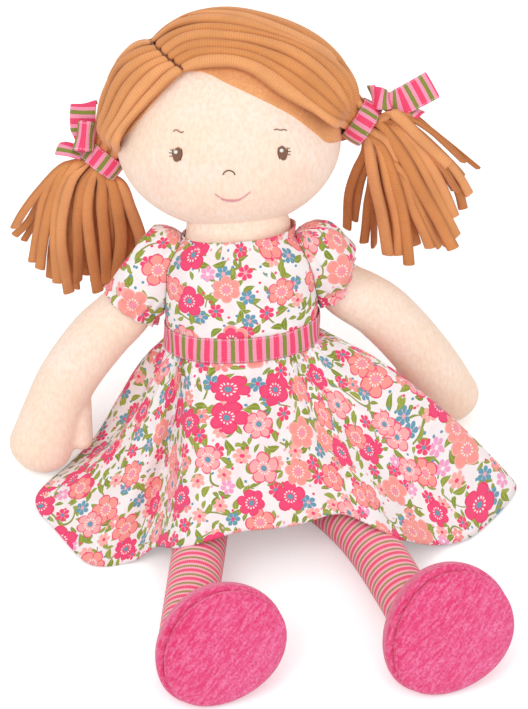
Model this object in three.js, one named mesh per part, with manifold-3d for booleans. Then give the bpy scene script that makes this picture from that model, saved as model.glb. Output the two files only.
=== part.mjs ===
// Seated soft rag doll with bunches, gathered dress, striped legs and padded shoes.
// Millimetres, +Z up, the doll faces -Y and rests on the plane z = 0.
import * as THREE from 'three';
import { mergeVertices } from 'three/addons/utils/BufferGeometryUtils.js';
import Module from 'manifold-3d';

const wasm = await Module();
wasm.setup();

// Cloth, gaps and resting flats
const seamGap = 0.35;
const velourThickness = 1.4;
const clothThickness = 1.0;
const feltThickness = 1.3;
const moveClearance = 0.6;
const overrun = 400;
const sliver = 0.02;

// Body: a stuffed cushion from the seat to the neck, leaning back
const hipHeight = 27;
const hipSideShift = 3;
const bodyLeanDeg = 23;
const bodyRollDeg = 2;
const bodyHalfWidth = 41;
const bodyHalfDepth = 31;
const bodyBottom = -27;
const bodyTop = 108;
const shoulderWidthShare = 0.91;
const seatHalfDepth = 33.5;
const seatBack = 50;
const seamOpening = 24;
const seamSlit = 0.7;

// Neck: a dome that the head nods over
const neckRise = 4;
const neckHeight = bodyTop + neckRise;
const neckHalfWidth = 27;
const neckRadius = 19.5;

// Head: egg, widest at the cheeks
const headLeanDeg = 31;
const headRise = 45;
const headSideShift = -6;
const headHalfWidth = 58.5;
const headFrontDepth = 45;
const headBackDepth = 48;
const headTopHeight = 61;
const headBottomHeight = 46;

// Hair: cap on the skull, flat jersey strips over it, bunches at the sides
const stripClearance = 1.5;
const hairRise = 3.0;
const ribRise = 2.6;
const tieRadius = 9.2;
const tieDepth = 13.9;
const bunchPivotOut = 14.5;
const bunchRootRadius = 7.6;
const bunchLength = 78;
const bunchHalfWidth = 34;
const bunchHalfDepth = 10.5;
const seamThreadRadius = 0.8;

// Ribbons: a band round each tie with a bow on it
const bandWidth = 10.5;
const ribbonThickness = 1.0;
const bowRibbonWidth = 15;
const bowTurnDeg = 40;
const bowReach = 20;
const bowKnotRadius = 4;
const bowKnotDepth = 2.6;

// Arms: stuffed tubes that end in mittens, hands on the floor
const shoulderSide = 41;
const shoulderHeight = 97;
const shoulderRadius = 14.2;
const armReach = 140;
const armRadius = 15.6;
const armGatherRadius = 13.6;
const armPlane = 39.2;
const armPlugRadius = 11;
const handHalfWidth = 17;
const handHalfDepth = 14.5;
const handTipLength = 15;
const thumbRadius = 7.7;
const thumbTipRadius = 6.3;
const thumbReach = 17.8;

// Legs: striped knit tubes
const hipSide = 20;
const hipForward = -12;
const hipDrop = -15;
const legRootRadius = 14;
const legRadius = 13.9;
const legAnkleRadius = 13.3;
const legReach = 134;
const legFoldDeg = 35;
const crotchHalf = 5.4;

// Shoes: padded buns with a separate sole
const shoeHalfLength = 34.2;
const ankleHeelShift = 9;
const shoeHalfWidth = 28.4;
const shoeDepth = 37;
const shoeFlat = 6.1;
const soleBulge = 6;
const soleThickness = 3.2;
const soleElevationDeg = 33;
const soleAzimuthDeg = 12;
const shoeTwistDeg = 40;

// Dress: bodice, puffed sleeves, ribbon at the waist, gathered skirt
const bodiceEase = 0.9;
const waistHeight = 55;
const waistRibbonHeight = 12.7;
const necklineHeight = 103.5;
const armholeRadius = 13;
const sleeveLength = 33;
const puffRadius = 18;
const sleeveHemRadius = 16.9;
const ruffleLength = 5;
const ruffleRadius = 18;
const elasticRadius = 0.6;
const elasticGap = 0.55;
const skirtReach = 120;
const skirtFoldDepth = 2.6;
const skirtHemLift = 1.8;
const skirtTuck = 2.4;

const up = new THREE.Vector3(0, 0, 1);
const right = new THREE.Vector3(1, 0, 0);
const origin = new THREE.Vector3();
const radians = Math.PI / 180;

// A frame moved to a place, leaning back about X, rolling about Y
function leaningFrame(place, leanDeg, rollDeg) {
  const roll = new THREE.Matrix4().makeRotationY(-rollDeg * radians);
  const lean = new THREE.Matrix4().makeRotationX(-leanDeg * radians);
  const frame = new THREE.Matrix4().makeTranslation(place.x, place.y, place.z);
  return frame.multiply(roll).multiply(lean);
}

function inFrame(frame, x, y, z) {
  return new THREE.Vector3(x, y, z).applyMatrix4(frame);
}

const bodyFrame = leaningFrame(new THREE.Vector3(hipSideShift, 0, hipHeight), bodyLeanDeg, bodyRollDeg);
const neckPivot = inFrame(bodyFrame, 0, 0, neckHeight);
const headAxis = new THREE.Vector3(0, Math.sin(headLeanDeg * radians), Math.cos(headLeanDeg * radians));
const headCentre = neckPivot.clone().addScaledVector(headAxis, headRise);
headCentre.x += headSideShift;
const headFrame = leaningFrame(headCentre, headLeanDeg, 0);

// Solids
function toSolid(geometry) {
  const bare = geometry.clone();
  bare.deleteAttribute('normal');
  bare.deleteAttribute('uv');
  const welded = mergeVertices(bare, 1e-4);
  return new wasm.Manifold(new wasm.Mesh({
    numProp: 3,
    vertProperties: new Float32Array(welded.attributes.position.array),
    triVerts: new Uint32Array(welded.index.array),
  }));
}

function signedVolume(points, faces) {
  let sum = 0;
  const cross = new THREE.Vector3();
  for (const [a, b, c] of faces) {
    sum += points[a].dot(cross.crossVectors(points[b], points[c]));
  }
  return sum;
}

function solidFromFaces(points, faces) {
  const flip = signedVolume(points, faces) < 0;
  const positions = points.flatMap((p) => [p.x, p.y, p.z]);
  const index = faces.flatMap(([a, b, c]) => (flip ? [a, c, b] : [a, b, c]));
  const geometry = new THREE.BufferGeometry();
  geometry.setAttribute('position', new THREE.Float32BufferAttribute(positions, 3));
  geometry.setIndex(index);
  return toSolid(geometry);
}

// Closed skin over successive rings of equal count, ends drawn to two points
function loft(rings, startPoint, endPoint) {
  const count = rings[0].length;
  const points = rings.flat();
  const faces = [];
  for (let r = 0; r + 1 < rings.length; r += 1) {
    for (let i = 0; i < count; i += 1) {
      const j = (i + 1) % count;
      const low = r * count;
      const high = low + count;
      faces.push([low + i, low + j, high + j]);
      faces.push([low + i, high + j, high + i]);
    }
  }
  const first = points.push(startPoint) - 1;
  const last = points.push(endPoint) - 1;
  const top = (rings.length - 1) * count;
  for (let i = 0; i < count; i += 1) {
    const j = (i + 1) % count;
    faces.push([first, j, i]);
    faces.push([last, top + i, top + j]);
  }
  return solidFromFaces(points, faces);
}

// Sheet between an upper and a lower grid; the columns may close on themselves
function sheetSolid(upper, lower, closed) {
  const rows = upper.length;
  const columns = upper[0].length;
  const points = [...upper.flat(), ...lower.flat()];
  const under = rows * columns;
  const faces = [];
  const quad = (a, b, c, d) => faces.push([a, b, c], [a, c, d]);
  const last = closed ? columns : columns - 1;
  for (let r = 0; r + 1 < rows; r += 1) {
    for (let i = 0; i < last; i += 1) {
      const j = (i + 1) % columns;
      const a = r * columns + i;
      const b = r * columns + j;
      quad(a, b, b + columns, a + columns);
      quad(under + a, under + a + columns, under + b + columns, under + b);
    }
  }
  const end = (rows - 1) * columns;
  for (let i = 0; i < last; i += 1) {
    const j = (i + 1) % columns;
    quad(i, under + i, under + j, j);
    quad(end + i, end + j, under + end + j, under + end + i);
  }
  if (!closed) {
    for (let r = 0; r + 1 < rows; r += 1) {
      const a = r * columns;
      const b = a + columns - 1;
      quad(a, a + columns, under + a + columns, under + a);
      quad(b, under + b, under + b + columns, b + columns);
    }
  }
  return solidFromFaces(points, faces);
}

function largestOf(solid) {
  return solid.decompose().reduce((best, piece) => (piece.volume() > best.volume() ? piece : best));
}

function middle(points) {
  return points.reduce((sum, p) => sum.add(p), new THREE.Vector3()).divideScalar(points.length);
}

function moved(solid, frame) {
  return solid.transform(frame.elements);
}

function block(width, depth, height, centre, frame) {
  const geometry = new THREE.BoxGeometry(width, depth, height);
  geometry.translate(centre.x, centre.y, centre.z);
  if (frame) geometry.applyMatrix4(frame);
  return toSolid(geometry);
}

function ball(radius, centre, segments) {
  const geometry = new THREE.SphereGeometry(radius, segments, Math.round(segments / 2));
  geometry.rotateZ(Math.PI / 2);
  geometry.translate(centre.x, centre.y, centre.z);
  return toSolid(geometry);
}

function rodAlong(radius, length, centre, direction, segments) {
  const geometry = new THREE.CylinderGeometry(radius, radius, length, segments);
  geometry.applyQuaternion(new THREE.Quaternion().setFromUnitVectors(new THREE.Vector3(0, 1, 0), direction));
  geometry.translate(centre.x, centre.y, centre.z);
  return toSolid(geometry);
}

const floorBlock = block(2 * overrun, 2 * overrun, overrun, new THREE.Vector3(0, 0, -overrun / 2));

function raisedFloor(rise) {
  return floorBlock.translate([0, 0, rise]);
}

// Superellipse ring in a plane given by two half axes
function ring(centre, halfA, halfB, count, squareness) {
  const points = [];
  for (let i = 0; i < count; i += 1) {
    const angle = (2 * Math.PI * i) / count;
    const c = Math.cos(angle);
    const s = Math.sin(angle);
    const a = Math.sign(c) * Math.abs(c) ** (2 / squareness);
    const b = Math.sign(s) * Math.abs(s) ** (2 / squareness);
    points.push(centre.clone().addScaledVector(halfA, a).addScaledVector(halfB, b));
  }
  return points;
}

// Linear look-up in rows of [at, value...] shares
function rowAt(rows, at) {
  let k = 0;
  while (k + 2 < rows.length && at > rows[k + 1][0]) k += 1;
  const [a, b] = [rows[k], rows[k + 1]];
  const t = Math.min(1, Math.max(0, (at - a[0]) / (b[0] - a[0])));
  return a.map((value, n) => value + (b[n] - value) * t);
}

// Body sections: height, half width and half depth
const bodyShares = [
  [0, 0.42, 0.4], [0.03, 0.62, 0.6], [0.08, 0.8, 0.79], [0.15, 0.93, 0.93], [0.24, 1, 1],
  [0.4, 0.98, 1], [0.53, 0.93, 0.97], [0.62, 0.9, 0.94], [0.75, shoulderWidthShare, 0.92],
  [0.88, shoulderWidthShare, 0.88], [0.93, 0.88, 0.78], [0.965, 0.78, 0.66], [1, 0.62, 0.56],
];
const bodyCrownShare = 0.06;
const bodySquareness = 2.5;
const bodySides = 20;

function bodyRing(level, wide, deep, grow, count) {
  const centre = inFrame(bodyFrame, 0, 0, level);
  const side = inFrame(bodyFrame, wide * bodyHalfWidth + grow, 0, level).sub(centre);
  const back = inFrame(bodyFrame, 0, deep * bodyHalfDepth + grow, level).sub(centre);
  return ring(centre, side, back, count, bodySquareness);
}

function bodyForm(grow, rows, count) {
  const last = rows.length - 1;
  const rings = rows.map(([at, wide, deep], k) => {
    const cap = (k === 0 ? -grow : 0) + (k === last ? grow : 0);
    return bodyRing(bodyBottom + at * (bodyTop - bodyBottom) + cap, wide, deep, grow, count);
  });
  const bottom = inFrame(bodyFrame, 0, 0, bodyBottom - grow - bodyHalfDepth * bodyCrownShare);
  const top = inFrame(bodyFrame, 0, 0, bodyTop + grow);
  return loft(rings, bottom, top);
}

// Where the doll sits, its stuffing spreads under the leaning back down to the floor:
// height as a share of the body's depth, then width and depth as shares of the seat's own
const seatShares = [[0, 0.8, 0.91], [0.14, 0.9, 0.97], [0.4, 0.97, 1], [0.8, 0.97, 0.98], [1.1, 0.9, 0.92]];

function seatForm(grow, count) {
  const rings = seatShares.map(([at, wide, deep]) => {
    const centre = new THREE.Vector3(hipSideShift, seatBack - seatHalfDepth, at * bodyHalfDepth);
    const side = new THREE.Vector3(wide * bodyHalfWidth + grow, 0, 0);
    const back = new THREE.Vector3(0, deep * seatHalfDepth + grow, 0);
    return ring(centre, side, back, count, bodySquareness);
  });
  return loft(rings, middle(rings[0]), middle(rings[seatShares.length - 1]));
}

function bodyOuter(grow) {
  return bodyForm(grow, bodyShares, bodySides).add(seatForm(grow, bodySides));
}

function bodyInner(grow) {
  return bodyForm(grow, bodyShares.filter((row, k) => k % 2 === 0), 12).add(seatForm(grow, 12));
}

// Ellipsoid at the top of the body that the head sits on
function neckDome(grow) {
  const geometry = new THREE.SphereGeometry(1, 16, 8);
  geometry.rotateZ(Math.PI / 2);
  geometry.scale(neckHalfWidth + grow, neckRadius + grow, neckRadius + grow);
  geometry.translate(0, 0, neckHeight);
  geometry.applyMatrix4(bodyFrame);
  return toSolid(geometry);
}

// Room that a leg sweeps through on each side of the crotch, from standing to folded up:
// an arc behind the hip, then a slope along the top of the folded leg
function legRoom(grow) {
  const radius = legRootRadius + grow;
  const slope = (legFoldDeg - bodyLeanDeg) * radians;
  const arcSteps = 5;
  const outline = [];
  for (let k = 0; k <= arcSteps; k += 1) {
    const angle = ((Math.PI / 2 - slope) * k) / arcSteps;
    outline.push(new THREE.Vector2(hipForward + radius * Math.cos(angle), hipDrop + radius * Math.sin(angle)));
  }
  const top = outline[arcSteps];
  outline.push(new THREE.Vector2(top.x - overrun * Math.cos(slope), top.y + overrun * Math.sin(slope)));
  outline.push(new THREE.Vector2(top.x - overrun, hipDrop - overrun));
  outline.push(new THREE.Vector2(outline[0].x, hipDrop - overrun));
  const geometry = new THREE.ExtrudeGeometry(new THREE.Shape(outline), { depth: overrun, bevelEnabled: false });
  const shapeToBody = new THREE.Matrix4().set(0, 0, 1, 0, 1, 0, 0, 0, 0, 1, 0, 0, 0, 0, 0, 1);
  geometry.applyMatrix4(shapeToBody);
  const ridge = crotchHalf + moveClearance - grow;
  const rightRoom = geometry.clone().translate(ridge, 0, 0);
  const leftRoom = geometry.clone().translate(-ridge - overrun, 0, 0);
  return moved(toSolid(rightRoom).add(toSolid(leftRoom)), bodyFrame);
}

// Slit in a skin where it was stuffed and sewn up by hand
function closingSlit(frame, y, z, depth) {
  return block(seamOpening, depth, seamSlit, new THREE.Vector3(0, y, z), frame);
}

function makeBody() {
  const wall = velourThickness;
  const inner = wall + seamGap;
  const cavity = bodyInner(-wall).subtract(legRoom(moveClearance + wall)).subtract(raisedFloor(wall));
  const slit = closingSlit(bodyFrame, bodyHalfDepth, bodyHalfDepth, bodyHalfDepth / 2);
  const skin = bodyOuter(0).add(neckDome(0)).subtract(legRoom(moveClearance)).subtract(floorBlock)
    .subtract(cavity).subtract(slit);
  const filling = bodyInner(-inner).subtract(legRoom(moveClearance + inner)).subtract(raisedFloor(inner));
  return { skin, filling };
}

// Head
function headPoint(direction, grow) {
  const deep = direction.y < 0 ? headFrontDepth : headBackDepth;
  const tall = direction.z > 0 ? headTopHeight : headBottomHeight;
  return inFrame(
    headFrame,
    direction.x * (headHalfWidth + grow),
    direction.y * (deep + grow),
    direction.z * (tall + grow));
}

function headForm(grow, around, levels) {
  const rings = [];
  for (let k = 1; k < levels; k += 1) {
    const polar = (Math.PI * k) / levels;
    const level = [];
    for (let i = 0; i < around; i += 1) {
      const angle = (2 * Math.PI * i) / around;
      level.push(headPoint(new THREE.Vector3(
        Math.sin(polar) * Math.cos(angle), Math.sin(polar) * Math.sin(angle), Math.cos(polar)), grow));
    }
    rings.push(level);
  }
  return loft(rings, headPoint(up, grow), headPoint(up.clone().negate(), grow));
}

function headOuter(grow) {
  return headForm(grow, 22, 11);
}

function makeHead() {
  const wall = velourThickness;
  const inner = wall + seamGap;
  const cavity = headForm(-wall, 12, 8).subtract(neckDome(moveClearance + wall));
  const slit = closingSlit(headFrame, headBackDepth, 0, headBackDepth / 2);
  const skin = headOuter(0).subtract(neckDome(moveClearance)).subtract(cavity).subtract(slit);
  const filling = headForm(-inner, 12, 8).subtract(neckDome(moveClearance + inner));
  return { skin, filling };
}

// Directions on the head, in the head frame
const partingShares = [
  [-0.36, -0.68, 0.64], [-0.5, -0.4, 0.77], [-0.58, 0.1, 0.81], [-0.44, 0.66, 0.61], [-0.16, 0.97, 0.16],
  [0, 0.93, -0.34],
];
const tieShares = { left: [-0.975, 0.1, -0.2], right: [0.985, -0.03, 0.13] };
const tieRiseShares = { left: 1, right: 1.25 };
const tieAxisShares = { left: [-0.77, 0.05, -0.64], right: [0.84, 0.05, -0.54] };

function unit(values) {
  return new THREE.Vector3(...values).normalize();
}

const partingCurve = new THREE.CatmullRomCurve3(partingShares.map(unit));

function tieCentre(side) {
  return headPoint(unit(tieShares[side]), tieRadius * tieRiseShares[side]);
}

function tieAxis(side) {
  return unit(tieAxisShares[side]).transformDirection(headFrame);
}

// Hair cap: felt on the skull, open below a hairline that falls to both sides of the parting
const hairlineShares = { side: -0.36, rise: 0.66, leftSlope: 1.116, rightSlope: 0.53, nape: -0.52 };

function makeHairCap() {
  const shell = headOuter(seamGap + feltThickness).subtract(headOuter(seamGap));
  const apexX = hairlineShares.side * headHalfWidth;
  const apexZ = hairlineShares.rise * headTopHeight;
  const face = new THREE.Shape([
    new THREE.Vector2(apexX, apexZ),
    new THREE.Vector2(apexX - overrun, apexZ - overrun * hairlineShares.leftSlope),
    new THREE.Vector2(apexX - overrun, -2 * overrun),
    new THREE.Vector2(apexX + overrun, -2 * overrun),
    new THREE.Vector2(apexX + overrun, apexZ - overrun * hairlineShares.rightSlope),
  ]);
  const geometry = new THREE.ExtrudeGeometry(face, { depth: overrun, bevelEnabled: false });
  geometry.rotateX(Math.PI / 2);
  geometry.applyMatrix4(headFrame);
  const napeHeight = hairlineShares.nape * headBottomHeight;
  const nape = block(overrun, overrun, overrun, new THREE.Vector3(0, 0, napeHeight - overrun / 2), headFrame);
  return largestOf(shell.subtract(toSolid(geometry)).subtract(nape)
    .subtract(bandRoom('left')).subtract(bandRoom('right')));
}

// Strips run from the parting over the skull to the tie
function stripPoint(side, along, towards, grow) {
  const start = partingCurve.getPoint(along).normalize();
  const target = unit(tieShares[side]);
  const angle = start.angleTo(target);
  const a = Math.sin((1 - towards) * angle) / Math.sin(angle);
  const b = Math.sin(towards * angle) / Math.sin(angle);
  const direction = start.multiplyScalar(a).addScaledVector(target, b).normalize();
  return headPoint(direction, grow);
}

const stripCounts = { left: 10, right: 12 };
const stripReachShares = { left: 0.86, right: 0.9 };
const stripStartShare = 0.02;
const stripEdgeShare = 0.35;

// The gathered strips end in a stub inside the ribbon band
function tieStub(side) {
  const outer = bunchPivotOut - bunchRootRadius - seamGap;
  const length = outer + tieDepth;
  const centre = tieCentre(side).addScaledVector(tieAxis(side), (outer - tieDepth) / 2);
  return rodAlong(tieRadius, length, centre, tieAxis(side), 14).subtract(headOuter(2 * seamGap + feltThickness));
}

function makeHairStrips(side) {
  const ribSteps = 2;
  const rows = 7;
  const columns = stripCounts[side] * ribSteps + 1;
  const base = seamGap + feltThickness + stripClearance;
  const upper = [];
  const lower = [];
  for (let r = 0; r < rows; r += 1) {
    const towards = stripStartShare + (stripReachShares[side] * r) / (rows - 1);
    const swell = stripEdgeShare + (1 - stripEdgeShare) * Math.min(1, 3 * towards);
    upper.push([]);
    lower.push([]);
    for (let i = 0; i < columns; i += 1) {
      const along = i / (columns - 1);
      const crest = Math.abs(Math.sin((Math.PI * i) / ribSteps));
      upper[r].push(stripPoint(side, along, towards, base + hairRise * swell + ribRise * crest));
      lower[r].push(stripPoint(side, along, towards, base));
    }
  }
  return largestOf(sheetSolid(upper, lower, false).add(tieStub(side)).subtract(bandRoom(side)));
}

function makePartingSeam() {
  const lift = 3 * seamGap + feltThickness + seamThreadRadius;
  const points = partingCurve.getPoints(6).map((p) => headPoint(p.normalize(), lift));
  const shape = new THREE.Shape();
  shape.absarc(0, 0, seamThreadRadius, 0, 2 * Math.PI, false);
  return toSolid(new THREE.ExtrudeGeometry(shape, {
    steps: 10, curveSegments: 3, bevelEnabled: false, extrudePath: new THREE.CatmullRomCurve3(points),
  }));
}

// Bunch of strips hanging from its tie: route, then width and depth along it
const bunchRouteShares = {
  left: [[-0.003, 0.128, -0.204], [-0.016, 0.167, -0.537], [-0.016, 0.192, -1]],
  right: [[0.167, 0.065, -0.186], [0.219, 0.103, -0.545], [0.193, 0.129, -1.032]],
};
const bunchSectionShares = [
  [0, 0.25, 0.6], [0.14, 0.42, 0.8], [0.35, 0.78, 1], [0.65, 0.98, 1], [0.92, 1, 0.85], [1, 0.93, 0.7],
];
const bunchLobes = 9;
const bunchScallopShare = 0.1;
const bunchDroopShare = 0.5;

function bunchPivot(side) {
  return tieCentre(side).addScaledVector(tieAxis(side), bunchPivotOut);
}

function makeBunch(side) {
  const pivot = bunchPivot(side);
  const route = bunchRouteShares[side].map((p) => pivot.clone().addScaledVector(new THREE.Vector3(...p), bunchLength));
  const curve = new THREE.CatmullRomCurve3([pivot, ...route]);
  const count = bunchLobes * 3;
  const rows = 7;
  const rings = [];
  for (let r = 0; r <= rows; r += 1) {
    const t = r / rows;
    const [, wide, deep] = rowAt(bunchSectionShares, t);
    const centre = curve.getPoint(t);
    const level = [];
    for (let i = 0; i < count; i += 1) {
      const angle = (2 * Math.PI * i) / count;
      const scallop = i % 3 === 0 ? 1 - bunchScallopShare * t : 1;
      const droop = bunchDroopShare * bunchHalfDepth * (t * Math.cos(angle)) ** 2;
      level.push(new THREE.Vector3(
        centre.x + Math.cos(angle) * wide * bunchHalfWidth * scallop,
        centre.y + Math.sin(angle) * deep * bunchHalfDepth * scallop,
        centre.z + droop));
    }
    rings.push(level);
  }
  return loft(rings, middle(rings[0]), middle(rings[rows])).add(ball(bunchRootRadius, pivot, 12));
}

// Ring-shaped room that each ribbon band takes round its tie
function bandRoom(side) {
  const wide = bandWidth + 2 * seamGap;
  const outer = rodAlong(tieRadius + 2 * ribbonThickness + seamGap, wide, tieCentre(side), tieAxis(side), 14);
  return outer.subtract(rodAlong(tieRadius, 2 * wide, tieCentre(side), tieAxis(side), 14));
}

function makeBand(side) {
  const inner = tieRadius + seamGap;
  const outer = inner + ribbonThickness;
  const geometry = new THREE.LatheGeometry([
    new THREE.Vector2(inner, -bandWidth / 2),
    new THREE.Vector2(outer, -bandWidth / 2),
    new THREE.Vector2(outer + seamGap, 0),
    new THREE.Vector2(outer, bandWidth / 2),
    new THREE.Vector2(inner, bandWidth / 2),
    new THREE.Vector2(inner, -bandWidth / 2),
  ], 20);
  geometry.applyQuaternion(new THREE.Quaternion().setFromUnitVectors(new THREE.Vector3(0, 1, 0), tieAxis(side)));
  const centre = tieCentre(side);
  geometry.translate(centre.x, centre.y, centre.z);
  return toSolid(geometry);
}

// Flat ribbon laid along points, its width in a given direction
function ribbonStrip(points, across, width, steps) {
  const curve = new THREE.CatmullRomCurve3(points);
  const upper = [];
  const lower = [];
  for (let k = 0; k <= steps; k += 1) {
    const place = curve.getPoint(k / steps);
    const tangent = curve.getTangent(k / steps);
    const side = across.clone().addScaledVector(tangent, -across.dot(tangent)).normalize();
    const out = new THREE.Vector3().crossVectors(tangent, side).normalize();
    const edges = [-0.5, 0.5].map((half) => place.clone().addScaledVector(side, half * width));
    upper.push(edges.map((edge) => edge.clone().addScaledVector(out, ribbonThickness / 2)));
    lower.push(edges.map((edge) => edge.clone().addScaledVector(out, -ribbonThickness / 2)));
  }
  return sheetSolid(upper, lower, false);
}

// Bows, seen from the front: [width, direction of the width, route], in shares of the ribbon's
// width and the bow's reach from its knot (to the right, away, up)
const bowShares = {
  left: {
    knot: [-0.625, -0.12, 0.78],
    strips: [
      [0.85, [0.96, 0, 0.27], [[0, 0, 0], [0.02, -0.06, 0.22], [0.04, -0.1, 0.6], [0.03, -0.06, 0.98]]],
      [1, [0.3, 0, 0.95], [[0.3, -0.02, 0.16], [0.32, -0.16, 0.18], [0.1, -0.36, 0.18], [-0.12, -0.22, 0.2], [-0.15, -0.02, 0.2]]],
      [0.9, [0.97, 0, -0.22], [[-0.25, 0.1, -0.05], [-0.33, -0.04, -0.22], [-0.37, -0.15, -0.4]]],
    ],
  },
  right: {
    knot: [0.66, 0.24, 0.68],
    strips: [
      [0.8, [-0.31, 0, 0.95], [[0.23, 0.02, 0], [0.2, -0.12, 0], [-0.1, -0.24, 0.05], [-0.38, -0.04, 0.09], [-0.12, 0.1, 0.1]]],
      [1, [-0.49, 0, 0.87], [[0.04, 0.02, -0.05], [0.44, -0.05, -0.04], [0.87, -0.05, 0.17], [1.3, 0, 0.41]]],
      [0.45, [-0.4, 0, 0.9], [[0.1, 0.1, -0.06], [0.45, 0.12, -0.18], [0.76, 0.12, -0.24], [1.02, 0.06, -0.36]]],
    ],
  },
};
const bowLiftShare = 1.4;

function makeBow(side) {
  const bow = bowShares[side];
  const out = tieRadius + seamGap + 2 * ribbonThickness + bowLiftShare * bowKnotDepth;
  const knot = tieCentre(side).addScaledVector(unit(bow.knot), out);
  const frame = leaningFrame(knot, bowTurnDeg, 0);
  const bead = new THREE.SphereGeometry(1, 8, 5).scale(bowKnotRadius, bowKnotDepth, bowKnotRadius);
  let solid = toSolid(bead.translate(knot.x, knot.y, knot.z));
  for (const [wide, across, route] of bow.strips) {
    const points = route.map((p) => inFrame(frame, ...p.map((share) => share * bowReach)));
    const width = unit(across).transformDirection(frame);
    solid = solid.add(ribbonStrip(points, width, wide * bowRibbonWidth, route.length + 2));
  }
  const room = rodAlong(tieRadius + ribbonThickness + 3 * seamGap, 2 * bandWidth, tieCentre(side), tieAxis(side), 20);
  return largestOf(solid.subtract(room));
}

// Stuffed tube along a curve, its far end rounded
function limb(curve, sideways, sections, tipLength, grow, count, rows, tipRows) {
  const rings = [];
  const section = (t, squeeze, slide) => {
    const tangent = curve.getTangentAt(t);
    const centre = curve.getPointAt(t).addScaledVector(tangent, slide);
    const a = sideways.clone().addScaledVector(tangent, -sideways.dot(tangent)).normalize();
    const b = new THREE.Vector3().crossVectors(tangent, a).normalize();
    const [, halfA, halfB] = rowAt(sections, t);
    a.multiplyScalar((halfA + grow) * squeeze);
    b.multiplyScalar((halfB + grow) * squeeze);
    rings.push(ring(centre, a, b, count, 2));
  };
  for (let r = 0; r <= rows; r += 1) section(r / rows, 1, 0);
  for (let k = 1; k < tipRows; k += 1) {
    const angle = (Math.PI / 2) * (k / tipRows);
    section(1, Math.cos(angle), (tipLength + grow) * Math.sin(angle));
  }
  const end = curve.getPointAt(1).addScaledVector(curve.getTangentAt(1), tipLength + grow);
  return loft(rings, curve.getPointAt(0), end);
}

// Arms: each runs out and back from its shoulder while it falls to the floor
const shoulders = {
  left: inFrame(bodyFrame, -shoulderSide, 0, shoulderHeight),
  right: inFrame(bodyFrame, shoulderSide, 0, shoulderHeight),
};
const armRouteShares = {
  left: [[-0.117, -0.071, 0.248], [-0.235, -0.096, 0.428], [-0.367, -0.149, 0.687], [-0.462, -0.239, 1]],
  right: [[0.094, 0.008, 0.23], [0.237, 0.015, 0.395], [0.422, 0.029, 0.745], [0.512, 0.044, 1]],
};
const armSections = [
  [0, shoulderRadius, shoulderRadius], [0.21, armGatherRadius, armGatherRadius],
  [0.31, armGatherRadius, armGatherRadius], [0.46, armRadius, armRadius],
  [0.8, armRadius, armRadius], [1, handHalfWidth, handHalfDepth],
];
const thumbRootShare = 0.35;
const palmShare = 0.97;

function armCurve(side) {
  const shoulder = shoulders[side];
  const fall = shoulder.z - handHalfDepth - seamGap / 2;
  const points = armRouteShares[side].map(([x, y, z]) => new THREE.Vector3(
    shoulder.x + x * armReach, shoulder.y + y * armReach, shoulder.z - z * fall));
  return new THREE.CatmullRomCurve3([shoulder, ...points]);
}

// What lies nearer the body than a plane across the shoulder, less the plug that joins the arm on
function insideOf(side, plane) {
  const sign = side === 'left' ? -1 : 1;
  const centre = new THREE.Vector3(sign * (plane - overrun / 2), 0, 0);
  return block(overrun, overrun, overrun, centre, bodyFrame);
}

function shoulderRod(radius) {
  const across = right.clone().transformDirection(bodyFrame);
  return rodAlong(radius, overrun, inFrame(bodyFrame, 0, 0, shoulderHeight), across, 16);
}

function armForm(side, grow, count, rows, tipRows) {
  const sign = side === 'left' ? 1 : -1;
  const curve = armCurve(side);
  const arm = limb(curve, right, armSections, handTipLength, grow, count, rows, tipRows);
  const root = ball(shoulderRadius + grow, shoulders[side], 10);
  const palm = curve.getPointAt(palmShare);
  const thumbCurve = new THREE.CatmullRomCurve3([
    palm.clone().add(new THREE.Vector3(sign * handHalfWidth * thumbRootShare, 0, 0)),
    palm.clone().add(new THREE.Vector3(sign * thumbReach, 0, 0)),
  ]);
  const thumbSections = [[0, thumbRadius, thumbRadius], [1, thumbTipRadius, thumbTipRadius]];
  const thumb = limb(thumbCurve, up, thumbSections, thumbTipRadius, grow, 10, 2, 3);
  return arm.add(root).add(thumb);
}

function makeArm(side) {
  const wall = velourThickness;
  const inner = wall + seamGap;
  const bodySide = shoulderWidthShare * bodyHalfWidth + seamGap;
  const throughBodice = insideOf(side, armPlane).subtract(shoulderRod(armPlugRadius));
  const skinOuter = armForm(side, 0, 12, 8, 3).subtract(throughBodice).subtract(insideOf(side, bodySide))
    .subtract(floorBlock);
  const cavity = armForm(side, -wall, 8, 5, 2).subtract(insideOf(side, armPlane + wall)).subtract(raisedFloor(wall));
  const slitPlace = armCurve(side).getPoint(0.3);
  const slit = block(seamSlit, overrun, seamOpening, origin).translate(
    slitPlace.x, slitPlace.y + overrun / 2, slitPlace.z);
  const filling = armForm(side, -inner, 8, 5, 2).subtract(insideOf(side, armPlane + inner))
    .subtract(raisedFloor(inner));
  return { skin: skinOuter.subtract(cavity).subtract(slit), filling };
}

// Shoe axes: out of the sole, along the sole to the toe, across the sole
function shoeAxes() {
  const lift = soleElevationDeg * radians;
  const turn = soleAzimuthDeg * radians;
  const normal = new THREE.Vector3(
    Math.sin(turn) * Math.cos(lift), -Math.cos(turn) * Math.cos(lift), Math.sin(lift));
  const level = new THREE.Vector3().crossVectors(up, normal).normalize();
  const rise = new THREE.Vector3().crossVectors(normal, level).normalize();
  const twist = shoeTwistDeg * radians;
  const toe = level.clone().multiplyScalar(Math.cos(twist)).addScaledVector(rise, Math.sin(twist));
  const flank = level.clone().multiplyScalar(-Math.sin(twist)).addScaledVector(rise, Math.cos(twist));
  return { normal, toe, flank };
}

const eggShare = 0.13;
const bunPowerShare = 0.8;
const soleRingShares = [[0.6, 0.86], [0.9, 0.55]];

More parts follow.
